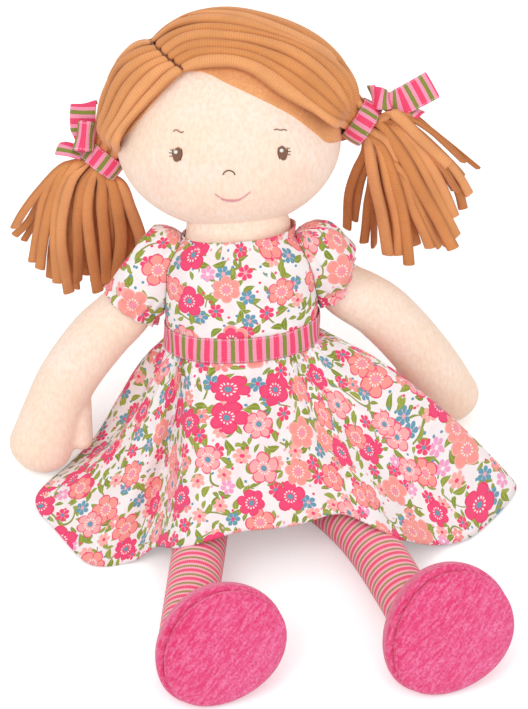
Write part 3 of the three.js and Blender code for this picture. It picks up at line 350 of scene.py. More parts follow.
# ---------------------------------------------------------------- materials
class Finish:
    """A cloth finish built from nodes."""

    def __init__(self, name, roughness=0.9, sheen=0.0, sheen_roughness=0.5):
        self.material = bpy.data.materials.new(name)
        self.material.use_nodes = True
        self.nodes = self.material.node_tree.nodes
        self.links = self.material.node_tree.links
        self.shader = self.nodes["Principled BSDF"]
        self.shader.inputs["Roughness"].default_value = roughness
        self.shader.inputs["Specular IOR Level"].default_value = 0.25
        self.shader.inputs["Sheen Weight"].default_value = sheen
        self.shader.inputs["Sheen Roughness"].default_value = sheen_roughness

    def put(self, value, socket):
        if isinstance(value, bpy.types.NodeSocket):
            self.links.new(value, socket)
        elif value is not None:
            socket.default_value = value

    def node(self, kind, inputs=(), **settings):
        made = self.nodes.new(kind)
        for key, value in settings.items():
            setattr(made, key, value)
        for key, value in dict(inputs).items():
            self.put(value, made.inputs[key])
        return made

    def calc(self, operation, *values):
        """A sum on numbers or on other nodes' results."""
        made = self.node('ShaderNodeMath', operation=operation)
        for value, socket in zip(values, made.inputs):
            self.put(value, socket)
        return made.outputs[0]

    def times(self, a, b):
        return self.calc('MULTIPLY', a, b)

    def plus(self, a, b):
        return self.calc('ADD', a, b)

    def minus(self, a, b):
        return self.calc('SUBTRACT', a, b)

    def over(self, a, b):
        return self.calc('DIVIDE', a, b)

    def size(self, a):
        return self.calc('ABSOLUTE', a)

    def less(self, a, b):
        return self.calc('LESS_THAN', a, b)

    def more(self, a, b):
        return self.calc('GREATER_THAN', a, b)

    def vector(self, operation, a, b):
        return self.node('ShaderNodeVectorMath', {0: a, 1: b}, operation=operation).outputs

    def cloth(self):
        return self.node('ShaderNodeTexCoord').outputs['UV']

    def place(self, scale=(1, 1, 1), uv=True, turn=(0, 0, 0)):
        """Place on the cloth, or in the room, scaled and turned."""
        source = self.node('ShaderNodeTexCoord').outputs['UV' if uv else 'Object']
        return self.node('ShaderNodeMapping', {0: source, 'Scale': scale, 'Rotation': turn}).outputs[0]

    def noise(self, where, scale, detail=2.0, dims='3D'):
        return self.node('ShaderNodeTexNoise', {'Vector': where, 'Scale': scale, 'Detail': detail},
                         noise_dimensions=dims).outputs[0]

    def put_colour(self, value, socket):
        self.put(value if isinstance(value, bpy.types.NodeSocket) else (*value, 1), socket)

    def mix(self, share, a, b, kind='MIX'):
        made = self.node('ShaderNodeMix', data_type='RGBA', blend_type=kind)
        self.put(share, made.inputs['Factor'])
        self.put_colour(a, made.inputs[6])
        self.put_colour(b, made.inputs[7])
        return made.outputs[2]

    def range(self, value, low, high, to_low=0.0, to_high=1.0):
        """Maps low to to_low and high to to_high, and stops there."""
        return self.node('ShaderNodeMapRange', {0: value, 1: low, 2: high, 3: to_low, 4: to_high}).outputs[0]

    def ramp(self, value, stops, sharp=False):
        made = self.node('ShaderNodeValToRGB', {0: value})
        made.color_ramp.interpolation = 'CONSTANT' if sharp else 'LINEAR'
        while len(made.color_ramp.elements) < len(stops):
            made.color_ramp.elements.new(0.5)
        for element, (at, colour) in zip(made.color_ramp.elements, stops):
            element.position, element.color = at, (*colour, 1)
        return made.outputs[0]

    def wave(self, where, period, along='X', bend=0.0, bend_scale=1.0):
        """Even waves, with their period in metres."""
        inputs = {0: where, 'Scale': math.pi / 10 / period, 'Distortion': bend, 'Detail Scale': bend_scale}
        return self.node('ShaderNodeTexWave', inputs, bands_direction=along).outputs[1]

    def done(self, colour, height, depth, strength):
        """Gives the shader its colour and its relief, whose depth is in millimetres."""
        self.put_colour(colour, self.shader.inputs["Base Color"])
        bump = self.node('ShaderNodeBump', {'Height': height, 'Distance': depth * MM, 'Strength': strength})
        self.links.new(bump.outputs[0], self.shader.inputs["Normal"])
        return self.material


def skin_velour(name, blush=()):
    """Short-napped velour; blush holds places in millimetres with their size and strength."""
    f = Finish(name, 0.95, 0.3, 0.45)
    here = f.place(uv=False)
    nap = f.noise(f.place((1, 1, 0.5), uv=False), 560, 4)
    lines = f.noise(f.place((0.35, 1, 1), uv=False), 600, 2)
    cloud = f.noise(here, 38, 2)
    tone = f.mix(f.range(cloud, 0.35, 0.65), (0.95, 0.76, 0.61), (0.97, 0.80, 0.685))
    tone = f.mix(f.range(nap, 0.38, 0.66, 0, 0.46), tone, (0.90, 0.60, 0.42))
    for spot, size, share in blush:
        away = f.vector('DISTANCE', here, tuple(spot * MM))['Value']
        tone = f.mix(f.range(away, size * MM, 0.2 * size * MM, 0, share), tone, (0.95, 0.48, 0.40))
    height = f.plus(nap, f.times(lines, 0.8))
    return f.done(tone, height, 0.4, 0.55)


def hair_jersey(name, tint):
    """Ribbed jersey, with painted shade darkening its rolled edges, where neighbouring strips meet."""
    f = Finish(name, 0.9, 0.2, 0.4)
    along = f.place()
    ribs = f.wave(along, 0.0013, 'Y', 1.5, 1.0)
    fine = f.noise(f.place(uv=False), 1300, 2)
    cloud = f.noise(f.place(uv=False), 55, 2)
    across = f.node('ShaderNodeSeparateXYZ', {0: f.cloth()}).outputs[0]
    # painted shade: a mask that grows towards both rolled edges of the strip, in the grooves between strips
    edge = f.calc('COSINE', f.times(across, 2 * math.pi / (strip_width * MM)))
    edge = f.calc('POWER', f.size(edge), 3.0)
    tone = f.mix(f.range(cloud, 0.3, 0.7), [c * 0.92 for c in tint], [min(1, c * 1.08) for c in tint])
    # mixes the painted shade in at the rolled edges
    tone = f.mix(f.range(edge, 0, 1, 0, 0.75), tone, [tint[0] * 0.52, tint[1] * 0.40, tint[2] * 0.36])
    tone = f.mix(f.range(ribs, 0, 1, 0, 0.38), tone, [c * 0.62 for c in tint])
    tone = f.mix(f.range(fine, 0.35, 0.75, 0, 0.25), tone, [c * 0.72 for c in tint])
    height = f.plus(f.times(ribs, -0.6), fine)
    return f.done(tone, height, 0.3, 0.6)


def hair_felt():
    f = Finish("hair_felt", 0.95, 0.3, 0.4)
    here = f.place(uv=False)
    fibres = f.noise(here, 900, 4)
    cloud = f.noise(here, 60, 2)
    tone = f.mix(f.range(cloud, 0.3, 0.7), (0.82, 0.38, 0.16), (0.92, 0.44, 0.19))
    tone = f.mix(f.range(fibres, 0.32, 0.68, 0, 0.5), tone, (0.62, 0.25, 0.09))
    return f.done(tone, fibres, 0.4, 0.6)


full_circle = 6.283
HOT, LIGHT, OLIVE = (0.87, 0.07, 0.175), (0.91, 0.33, 0.47), (0.235, 0.27, 0.045)
ROSE, CORAL, BLUE = (0.91, 0.40, 0.46), (0.94, 0.30, 0.28), (0.14, 0.33, 0.44)
SALMON, CHALK = (0.93, 0.42, 0.38), (0.93, 0.82, 0.80)


def stripes(colours, ends, soft):
    """Stops of a ramp whose colours run to their ends and change over a little width."""
    stops = [(0, colours[0])]
    for before, after, end in zip(colours, colours[1:], ends):
        stops += [(end - soft, before), (end + soft, after)]
    return stops + [(1 - soft, colours[-1])]


def striped_ribbon(width, start=0.0):
    """Stripes run across the ribbon; woven edge lines run along it."""
    f = Finish("striped_ribbon_%d" % round(width * 10), 0.75, 0.15, 0.4)
    source = f.cloth()
    split = f.node('ShaderNodeSeparateXYZ', {0: source})
    across, along = split.outputs[0], split.outputs[1]
    wobble = f.times(f.minus(f.noise(source, 500, 1), 0.5), 0.0003)
    repeats = f.over(f.plus(along, wobble), ribbon_repeat * MM)
    tone = f.ramp(f.calc('FRACT', f.plus(repeats, start)),
                  stripes((HOT, LIGHT, OLIVE, LIGHT), (0.33, 0.545, 0.785), 0.012))
    edge = f.minus(width / 2 * MM, f.size(across))
    line = f.times(f.more(edge, 0.0005), f.less(edge, 0.0009))
    dash = f.more(f.calc('FRACT', f.over(along, 0.0016)), 0.35)
    tone = f.mix(f.times(line, f.times(dash, 0.6)), tone, (0.93, 0.78, 0.82))
    weft = f.wave(f.place(), 0.0009, 'Y')
    warp = f.wave(f.place(), 0.0012, 'X')
    grain = f.times(weft, warp)
    tone = f.mix(f.range(grain, 0, 1, 0, 0.22), tone, (0.4, 0.05, 0.1), 'MULTIPLY')
    return f.done(tone, grain, 0.15, 0.7)


def striped_knit():
    """Ribbed knit with stripes round the leg."""
    f = Finish("striped_knit", 0.9, 0.2, 0.4)
    split = f.node('ShaderNodeSeparateXYZ', {0: f.cloth()})
    ribs = f.wave(f.place(), 0.0012, 'X')
    wobble = f.times(f.minus(ribs, 0.5), 0.0002)
    repeats = f.over(f.plus(split.outputs[1], wobble), knit_repeat * MM)
    olive, pale = (0.30, 0.27, 0.05), (0.93, 0.43, 0.52)
    tone = f.ramp(f.calc('FRACT', repeats), stripes((olive, pale, HOT, pale), (0.22, 0.42, 0.76), 0.02))
    rows = f.wave(f.place(), 0.0012, 'Y')
    tone = f.mix(f.range(ribs, 0, 1, 0, 0.12), tone, (0.95, 0.62, 0.66))
    return f.done(tone, f.plus(ribs, f.times(rows, 0.5)), 0.18, 0.7)


def shoe_velour(name, centre):
    """Brushed velour: its nap lies in slanting streaks; painted light makes it lighter low on the right."""
    f = Finish(name, 0.9, 0.4, 0.4)
    here = f.place(uv=False)
    slant, cross = unit(level_axis + rise_axis), unit(level_axis - rise_axis)

    def along(axis, start=(0, 0, 0)):
        away = f.vector('SUBTRACT', here, tuple(np.asarray(start) * MM))[0]
        return f.vector('DOT_PRODUCT', away, tuple(axis))['Value']

    def brushed(long, thin, detail):
        parts = {k: f.times(along(axis), scale) for k, (axis, scale) in
                 enumerate(((slant, long), (cross, thin), (sole_normal, thin)))}
        return f.noise(f.node('ShaderNodeCombineXYZ', parts).outputs[0], 1.0, detail)

    streaks, bands = brushed(160, 700, 3), brushed(25, 90, 2)
    nap = f.noise(here, 900, 3)
    # painted light: a mask that grows towards the lower right of the shoe
    low = f.range(along(cross, centre), -0.012, 0.03)
    tone = f.mix(f.range(bands, 0.35, 0.65), (0.76, 0.05, 0.185), (0.79, 0.085, 0.245))
    # mixes in the painted light, a lighter pink low on the right
    tone = f.mix(f.times(low, 0.4), tone, (0.84, 0.20, 0.42))
    tone = f.mix(f.range(streaks, 0.4, 0.62, 0, 0.72), tone, (0.88, 0.25, 0.45))
    tone = f.mix(f.range(nap, 0.38, 0.64, 0, 0.6), tone, (0.68, 0.015, 0.10))
    return f.done(tone, f.plus(streaks, nap), 0.7, 0.9)


def floral_cotton(name):
    """White cotton with small garden flowers, leaves and stems of the maker's own."""
    f = Finish(name, 0.85, 0.1, 0.5)
    source = f.cloth()

    def cells(size, shift, jitter):
        """Scattered motifs: the place from each one's middle in millimetres, and three chances of its own."""
        inputs = {0: source, 'Scale': (1 / (size * MM),) * 3, 'Location': (*shift, 0)}
        where = f.node('ShaderNodeMapping', inputs).outputs[0]
        inputs = {'Vector': where, 'Scale': 1.0, 'Randomness': jitter}
        made = f.node('ShaderNodeTexVoronoi', inputs, voronoi_dimensions='2D')
        gap = f.vector('SUBTRACT', where, made.outputs['Position'])[0]
        xyz = f.node('ShaderNodeSeparateXYZ', {0: gap})
        chance = f.node('ShaderNodeSeparateColor', {0: made.outputs['Color']})
        x, y = (f.times(xyz.outputs[k], size) for k in (0, 1))
        return x, y, chance.outputs[0], chance.outputs[1], chance.outputs[2]

    def polar(x, y, turn):
        """Distance from the middle and angle round it."""
        radius = f.calc('SQRT', f.plus(f.times(x, x), f.times(y, y)))
        return radius, f.plus(f.calc('ARCTAN2', y, x), f.times(turn, full_circle))

    def petals(radius, angle, count, size, notch):
        """Share of the way to the petals' edge, and how far inside its petal a place is."""
        lobe = f.size(f.calc('COSINE', f.times(angle, count / 2)))
        share = f.plus(f.times(f.calc('POWER', lobe, 0.55), notch), 1 - notch)
        return f.over(radius, f.times(share, size)), lobe

    base = f.mix(f.range(f.noise(source, 90, 2, '2D'), 0.4, 0.7), (0.91, 0.87, 0.86), (0.91, 0.80, 0.82))

    vine = f.size(f.minus(f.noise(source, 46, 0.0, '2D'), 0.5))
    vine = f.times(f.less(vine, 0.016), f.less(f.noise(source, 75, 0.0, '2D'), 0.50))
    tone = f.mix(vine, base, (0.28, 0.31, 0.07))

    def leaves(tone, size, shift, length, width, keep):
        x, y, one, two, three = cells(size, shift, 0.9)
        turn = f.times(one, full_circle)
        c, s = f.calc('COSINE', turn), f.calc('SINE', turn)
        a = f.plus(f.times(x, c), f.times(y, s))
        b = f.minus(f.times(y, c), f.times(x, s))
        b = f.plus(b, f.times(f.times(a, a), 0.08))
        t = f.over(a, length)
        side = f.times(f.minus(1.0, f.times(t, t)), width)
        mask = f.times(f.less(f.size(b), side), f.less(two, keep))
        vein = f.less(f.size(b), 0.16)
        green = f.mix(three, (0.21, 0.275, 0.022), (0.33, 0.38, 0.05))
        green = f.mix(f.times(vein, 0.5), green, (0.55, 0.55, 0.25))
        return f.mix(mask, tone, green)

    tone = leaves(tone, 8.6, (3.1, 7.7), 3.9, 1.7, 0.78)
    tone = leaves(tone, 6.4, (9.4, 1.3), 2.6, 1.05, 0.5)

    x, y, one, two, three = cells(4.4, (5.2, 2.9), 0.95)
    radius, _ = polar(x, y, one)
    berry = f.times(f.less(radius, 0.75), f.less(two, 0.3))
    tone = f.mix(berry, tone, f.ramp(three, [(0, BLUE), (0.35, HOT), (0.7, ROSE)], True))

    x, y, one, two, three = cells(12.5, (1.7, 4.4), 0.75)
    radius, angle = polar(x, y, three)
    star, lobe = petals(radius, angle, 6, 4.1, 0.5)
    colour = f.ramp(one, [(0, HOT), (0.38, BLUE), (0.55, SALMON), (0.76, CORAL), (0.9, (0.88, 0.36, 0.58))], True)
    colour = f.mix(f.times(f.less(lobe, 0.25), 0.5), colour, (0.95, 0.85, 0.86))
    mask = f.times(f.less(star, 1.0), f.less(two, 0.88))
    tone = f.mix(mask, tone, colour)
    heart = f.times(f.less(radius, 1.0), f.less(two, 0.88))
    hearts = [(0, BLUE), (0.34, ROSE), (0.5, HOT), (0.72, BLUE), (0.86, (0.93, 0.8, 0.8))]
    tone = f.mix(heart, tone, f.ramp(one, hearts, True))

    rose, coral = (0.87, 0.075, 0.19), (0.93, 0.33, 0.29)
    for size, shift, count, reach, keep_under in ((25.0, (6.6, 0.8), 5, 8.6, 0.78),
                                                  (29.0, (2.3, 5.9), 6, 7.6, 0.8)):
        x, y, one, two, three = cells(size, shift, 0.3)
        radius, angle = polar(x, y, two)
        bloom, lobe = petals(radius, angle, count, reach, 0.34)
        keep = f.less(three, keep_under)
        inner = f.ramp(one, [(0, coral), (0.42, rose), (0.8, (0.92, 0.42, 0.42))], True)
        outer = f.ramp(one, [(0, rose), (0.2, SALMON), (0.42, (0.82, 0.05, 0.16)), (0.8, rose)], True)
        rough = f.plus(bloom, f.times(f.noise(source, 400, 1, '2D'), 0.1))
        streak = f.times(f.less(lobe, 0.16), f.more(radius, 3.6))
        rays = f.times(f.more(f.calc('SINE', f.times(angle, 12)), 0.1),
                      f.less(f.size(f.minus(radius, 2.9)), 0.55))
        for mask, colour in ((f.less(bloom, 1.0), outer), (f.less(rough, 0.96), inner),
                             (f.times(streak, f.less(bloom, 0.92)), outer), (rays, CHALK),
                             (f.less(radius, 1.5), f.ramp(one, [(0, (0.90, 0.30, 0.45)), (0.42, BLUE)], True))):
            tone = f.mix(f.times(mask, keep), tone, colour)

    weft = f.wave(f.place(), 0.0007, 'Y')
    warp = f.wave(f.place(), 0.0007, 'X')
    grain = f.plus(f.times(weft, warp), f.noise(source, 2200, 2, '2D'))
    tone = f.mix(f.range(grain, 0.2, 1.6, 0.12, 0), tone, (0.55, 0.48, 0.48), 'MULTIPLY')
    return f.done(tone, grain, 0.1, 0.45)


def thread(name, colour):
    f = Finish(name, 0.6, 0.1, 0.4)
    strands = f.wave(f.place(uv=False, turn=(0.5, 0.4, 0.6)), 0.0006, 'X', 2, 3)
    tone = f.mix(f.range(strands, 0, 1, 0, 0.45), colour, [c * 0.5 for c in colour])
    return f.done(tone, strands, 0.12, 0.8)


# ---------------------------------------------------------------- floor and light
def add_stage():
    """White floor and backdrop, with three soft lamps."""
    bpy.ops.mesh.primitive_plane_add(size=6, location=(0, 0, 0))
    floor = bpy.context.object
    floor.name = "floor"
    f = Finish("white_floor", 0.9)
    f.shader.inputs["Base Color"].default_value = (0.9, 0.9, 0.9, 1)
    f.shader.inputs["Specular IOR Level"].default_value = 0.0
    seen = f.node('ShaderNodeLightPath')
    shown = f.calc('MAXIMUM', seen.outputs['Is Camera Ray'], seen.outputs['Is Glossy Ray'])
    glow = f.node('ShaderNodeEmission', {'Color': (1, 1, 1, 1), 'Strength': f.times(shown, 0.3)})
    both = f.node('ShaderNodeAddShader', {0: f.shader.outputs[0], 1: glow.outputs[0]})
    f.links.new(both.outputs[0], f.nodes["Material Output"].inputs[0])
    floor.data.materials.append(f.material)
    floor.select_set(False)

    world = bpy.data.worlds.new("studio")
    world.use_nodes = True
    bpy.context.scene.world = world
    nodes, links = world.node_tree.nodes, world.node_tree.links
    back = nodes["Background"]
    back.inputs[0].default_value = (1, 1, 1, 1)
    path = nodes.new('ShaderNodeLightPath')
    shown = nodes.new('ShaderNodeMath')
    shown.operation = 'MAXIMUM'
    links.new(path.outputs['Is Camera Ray'], shown.inputs[0])
    links.new(path.outputs['Is Glossy Ray'], shown.inputs[1])
    level = nodes.new('ShaderNodeMapRange')
    level.inputs[3].default_value, level.inputs[4].default_value = 0.72, 1.0
    links.new(shown.outputs[0], level.inputs[0])
    links.new(level.outputs[0], back.inputs[1])

    for name, place, size, power in (("key", (-0.75, -0.9, 1.4), 1.1, 9.5),
                                     ("fill", (0.9, -1.0, 0.8), 1.2, 5.0),
                                     ("top", (0.1, 0.7, 1.5), 1.0, 3.2)):
        data = bpy.data.lights.new(name, 'AREA')
        data.size, data.energy = size, power
        lamp = bpy.data.objects.new(name, data)
        lamp.location = place
        lamp.rotation_euler = (Vector(place) - Vector((0, 0, 0.1))).to_track_quat('Z', 'Y').to_euler()
        bpy.context.collection.objects.link(lamp)


add_stage()

# ---------------------------------------------------------------- head
side_sign = {'left': -1, 'right': 1}


def head_mesh(name, material):
    """Two velour panels stuffed into an egg, widest at the cheeks."""
    directions = sphere_directions(np.linspace(0, math.pi, 73)[1:-1, None], full_turn(112))
    return grid_piece(name, head_point(directions, 0), material, wrap=True, ends=True)


def face_direction(x, y, grow=0.0):
    """Direction on the head, grown outwards, that shows at a pixel of the photograph, or is nearest to it."""
    turn = head_frame[:3, :3]
    start, step = turn.T @ (eye - head_frame[:3, 3]), turn.T @ unit(photo_ray(x, y))
    best = None
    for beside in (False, True):
        for wide, deep, tall in itertools.product((-head_half_width + head_slim, head_half_width),
                                                  (-head_front, head_back), (-head_low, head_top)):
            size = np.abs([wide, deep, tall]) + grow
            o, d = start / size, step / size
            b, c, q = o @ d, o @ o - 1, d @ d
            if b * b < q * c and not beside:
                continue
            hit = start + step * (-b - math.sqrt(max(0.0, b * b - q * c))) / q
            if (hit * [wide, deep, tall] >= 0).all():
                return unit(hit / size)
            best = unit(hit / size)
    return best


def face_point(x, y, lift=0.0):
    """Place on the head's skin, or lifted off it, that shows at a pixel of the photograph."""
    return head_point(face_direction(x, y), lift)


cheeks = [(face_point(158, 182), 13, 0.2), (face_point(299, 178), 12, 0.16)]
velour_face = skin_velour("velour_face", cheeks)
velour_skin = skin_velour("velour_skin")
head = head_mesh("head_skin", velour_face)
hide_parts("head_skin", "head_filling")
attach(head, "head")

# ---------------------------------------------------------------- embroidered face
brown = thread("thread_brown", (0.28, 0.14, 0.085))
dark = thread("thread_dark", (0.12, 0.055, 0.035))
white = thread("thread_white", (0.9, 0.9, 0.88))
pink = thread("thread_pink", (0.88, 0.42, 0.45))


def stitches(name, rows, material, radius=0.28):
    """Lines of thread laid on the face, each through pixels of the photograph."""
    parts = []
    for row in rows:
        path, _ = even([face_point(x, y, radius * 0.9) for x, y in row], max(4, 3 * len(row)))
        taper = np.ones(len(path))
        taper[0] = taper[-1] = 0.35
        rings = section_rings(path, radius * taper, radius * taper, [1.0, 0.2, 0.1], 6)
        parts.append(grid_piece(name, rings, material, wrap=True, ends=True))
    piece = joined(name, parts, material) if len(parts) > 1 else parts[0]
    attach(piece, "head")
    return piece


def oval_rows(cx, cy, half_w, half_h, tilt, count):
    """Satin stitches side by side that fill an oval."""
    rows = []
    for k in range(count):
        x = (2 * (k + 0.5) / count - 1)
        h = math.sqrt(1 - x * x)
        c, s = math.cos(tilt), math.sin(tilt)
        rows.append([(cx + x * half_w * c - y * s, cy + x * half_w * s + y * c)
                     for y in (-h * half_h, 0, h * half_h)])
    return rows


for side, cx, cy, outer in (('left', 177.5, 154.5, -1), ('right', 282.5, 153, 1)):
    stitches("eye_" + side, oval_rows(cx, cy, 4.3, 7.4, -0.16 * outer, 12), brown, 0.3)
    shade = [[(cx + 4.1 * outer * k, cy - 6.2), (cx + 4.8 * outer * k, cy), (cx + 2.6 * outer * k, cy + 6.6)]
             for k in (-1, 1)]
    stitches("eye_shade_" + side, shade, dark, 0.2)
    stitches("eye_light_" + side, oval_rows(cx - 1.4, cy - 2.6, 1.6, 2.0, 0, 4), white, 0.42)
    lash = [[(cx + 4.2 * outer, cy - 3.6), (cx + 7.4 * outer, cy - 5.2)],
            [(cx + 4.6 * outer, cy - 1.4), (cx + 8.6 * outer, cy - 1.8)],
            [(cx + 4.5 * outer, cy + 1.2), (cx + 8.2 * outer, cy + 2.0)]]
    stitches("lashes_" + side, lash, dark, 0.2)
for name, route, material, radius in (
        ("brow_left", [(173.5, 131.5), (176, 129.8), (178.4, 130.8), (181, 132.4), (184, 131.6)], brown, 0.28),
        ("brow_right", [(273.5, 130), (277, 129.2), (280, 130.2), (283.2, 129.6), (287, 130.4)], brown, 0.28),
        ("nose", [(222.8, 175.2), (224.5, 172), (229, 170.3), (233.4, 172), (235.2, 175.2)], dark, 0.28),
        ("mouth", [(214.8, 193.6), (220, 197.2), (226, 199.2), (232.5, 199.8), (239, 199), (245, 196),
                   (250.6, 191.2)], pink, 0.3),
        ("mouth_lower", [(221, 198.9), (227, 200.5), (233, 200.9), (241, 199.3)], pink, 0.36)):
    stitches(name, [route], material, radius)

# ---------------------------------------------------------------- hair on the head
tie_at = {'left': unit([-0.975, 0.1, -0.2]), 'right': unit([0.985, -0.03, 0.13])}
tie_lift = {'left': 0.78, 'right': 1.25}
tie_axis = {'left': turned(head_frame, unit([-0.62, 0.05, -0.78])),
            'right': turned(head_frame, unit([0.84, 0.05, -0.54]))}
tie_shift = {'left': (0, 0, 0), 'right': (-0.6, -0.5, -0.9)}
tie_centre = {s: head_point(tie_at[s], tie_radius * tie_lift[s], 0) + tie_shift[s] for s in tie_at}
strip_rise = 4.1
hair_fullness = {'left': 4.2, 'right': -0.7}
parting_seen = ((184, 70.2), (169.5, 59.6), (156, 47), (148.5, 38.5))
parting_behind = unit([[-0.6, 0.3, 0.75], [-0.44, 0.66, 0.61], [-0.16, 0.97, 0.16], [0, 0.93, -0.34]])
parting = np.vstack([[face_direction(x, y, strip_rise) for x, y in parting_seen], parting_behind])

# hairline of the felt, and the edges between the laid strips, as pixels of the photograph
hairline = [(118, 151), (118.4, 143), (128, 132), (140, 117.5), (158, 96), (171, 82), (184, 70.5), (200.8, 70.4),
            (212, 74.5), (223.3, 80.6), (241, 89), (260, 98), (278, 107), (294.7, 116.3), (310, 128),
            (325, 140.8), (331, 143.2), (337, 142.4), (343.7, 138.8)]
strip_edges = {
    'right': [
        [(183.5, 70.4), (202.9, 67.3), (223.3, 66.5), (237.6, 67.3), (249.8, 71.4),
         (264, 80.6), (280.4, 91.8), (300.8, 103), (325, 117.5), (343.5, 134)],
        [(178.4, 64.3), (190.6, 58.2), (223.3, 55.1), (247.8, 59.2), (274.3, 72.4),
         (294.7, 87.8), (315, 104), (343, 126.5)],
        [(170, 59), (186.5, 52), (223, 49.6), (250, 53.5), (280.4, 67.3),
         (305, 83.7), (325, 100), (345.5, 123.5)],
        [(165, 54), (186.5, 42.9), (223.3, 40.8), (253.9, 45.3), (284.5, 56.1),
         (309, 71.4), (331.4, 91.8), (348.5, 120.4)],
        [(158, 48), (182.4, 34.7), (223.3, 32.7), (255.9, 36.7), (288.6, 46.9),
         (315, 63.3), (337, 85.7), (352, 117)],
        [(152.8, 42), (182.4, 28.6), (213, 24.5), (253.9, 30.6), (290.6, 42.9),
         (321, 59.2), (345.7, 83.7), (355, 113)],
        [(149, 37.5), (174, 20.5), (203, 16.3), (243.7, 20.4), (284.5, 36.7),
         (325, 59), (350, 81.6), (358, 108)]],
    'left': [
        [(183.5, 70.4), (172, 80.6), (158, 93.9), (145.7, 106), (129.5, 125), (121, 140), (118, 150)],
        [(176.3, 64.3), (166, 72.4), (149.8, 89.8), (135.5, 106), (121, 124.5), (110, 142.9)],
        [(170, 60.2), (158, 65.3), (141.6, 79.6), (127.3, 98), (114, 122.4), (106, 140.8)],
        [(164, 55), (149.8, 61.2), (133.5, 73.5), (119.2, 91.8), (108, 116.3), (102.9, 138.8)],
        [(158, 49), (141.6, 56), (125.3, 67.3), (113, 85.7), (103.9, 110.2), (100.8, 134.7)],
        [(153.9, 43.9), (135.5, 51), (119.2, 63.3), (109, 79.6), (101.5, 106), (99, 132)],
        [(149, 38.8), (129.4, 45.9), (115, 57), (104.9, 75.5), (99.4, 102), (97, 128)]],
}
hidden_edges = {'left': 11, 'right': 15}
hidden_reach = {'left': 0.80, 'right': 0.86}
strip_steps, skull_steps, strip_rings = 40, 37, 44


def strip_height(side, share, line):
    """How high a line of the hair runs over the skull, at a share of its way to the tie.

    It lifts off towards the tie; away from the face the hair stands fuller, or lies closer."""
    share = np.asarray(share, float)
    t = np.clip((share - 0.5) / 0.5, 0, 1)
    full = hair_fullness[side] * min(line / 4, 1) * np.clip(np.sin(math.pi * share ** 0.8), 0, 1) ** 0.7
    return strip_rise + full + (tie_radius * tie_lift[side] - strip_rise) * t * t * (3 - 2 * t)


def edge_lines(side):
    """Directions along the edges of the strips, from the parting to the tie: the seen ones, then over the back."""
    steps, lines = strip_steps, []
    for i, route in enumerate(strip_edges[side]):
        heights = strip_height(side, np.linspace(0, 1, len(route)), i)
        corners = [face_direction(x, y, float(high)) for (x, y), high in zip(route, heights)]
        lines.append(unit(even(corners, steps)[0]))
    target, seen = tie_at[side], len(lines)
    for along in np.linspace(3 / 7, 1, hidden_edges[side]):
        start = unit(spline(parting, [along]))[0]
        angle = math.acos(float(np.clip(start @ target, -1, 1)))
        t = np.linspace(0, hidden_reach[side], steps)[:, None]
        lines.append(unit(start * np.sin((1 - t) * angle) + target * np.sin(t * angle)))
    lines.insert(seen, unit(lines[seen - 1] + lines[seen]))
    return np.array(lines)


def make_cap():
    """Felt on the skull, from the crown down to its hairline in front and the nape behind."""
    edge = np.array([face_direction(x, y, seam_gap + felt / 2) for x, y in hairline])
    around, down = np.arctan2(edge[:, 1], edge[:, 0]), np.arccos(edge[:, 2])
    around = np.where(around > 0, around - 2 * math.pi, around)
    nape = math.acos(-0.52)
    around = np.concatenate([around[0] - [1.0, 0.5], around, around[-1] + [0.5, 1.0]])
    down = np.concatenate([[nape, down[0]], down, [down[-1], nape]])
    turn = full_turn(360)
    reach = np.interp(turn, around, down, period=2 * math.pi)
    directions = sphere_directions(np.linspace(0.02, 1, 46)[:, None] * reach, turn)
    cap = grid_piece("hair_cap", head_point(directions, seam_gap), hair_felt(), wrap=True)
    return thick(cap, felt, 1)


cap = make_cap()
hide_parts("hair_cap")
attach(cap, "head")

# three jersey tones that differ at random, then a darker copy as painted shade for strands hanging behind
jersey_tones_and_shade = [hair_jersey("hair_jersey_%d" % k, tint) for k, tint in enumerate(
    ((0.82, 0.345, 0.125), (0.75, 0.30, 0.10), (0.88, 0.39, 0.155), (0.68, 0.255, 0.082)))]


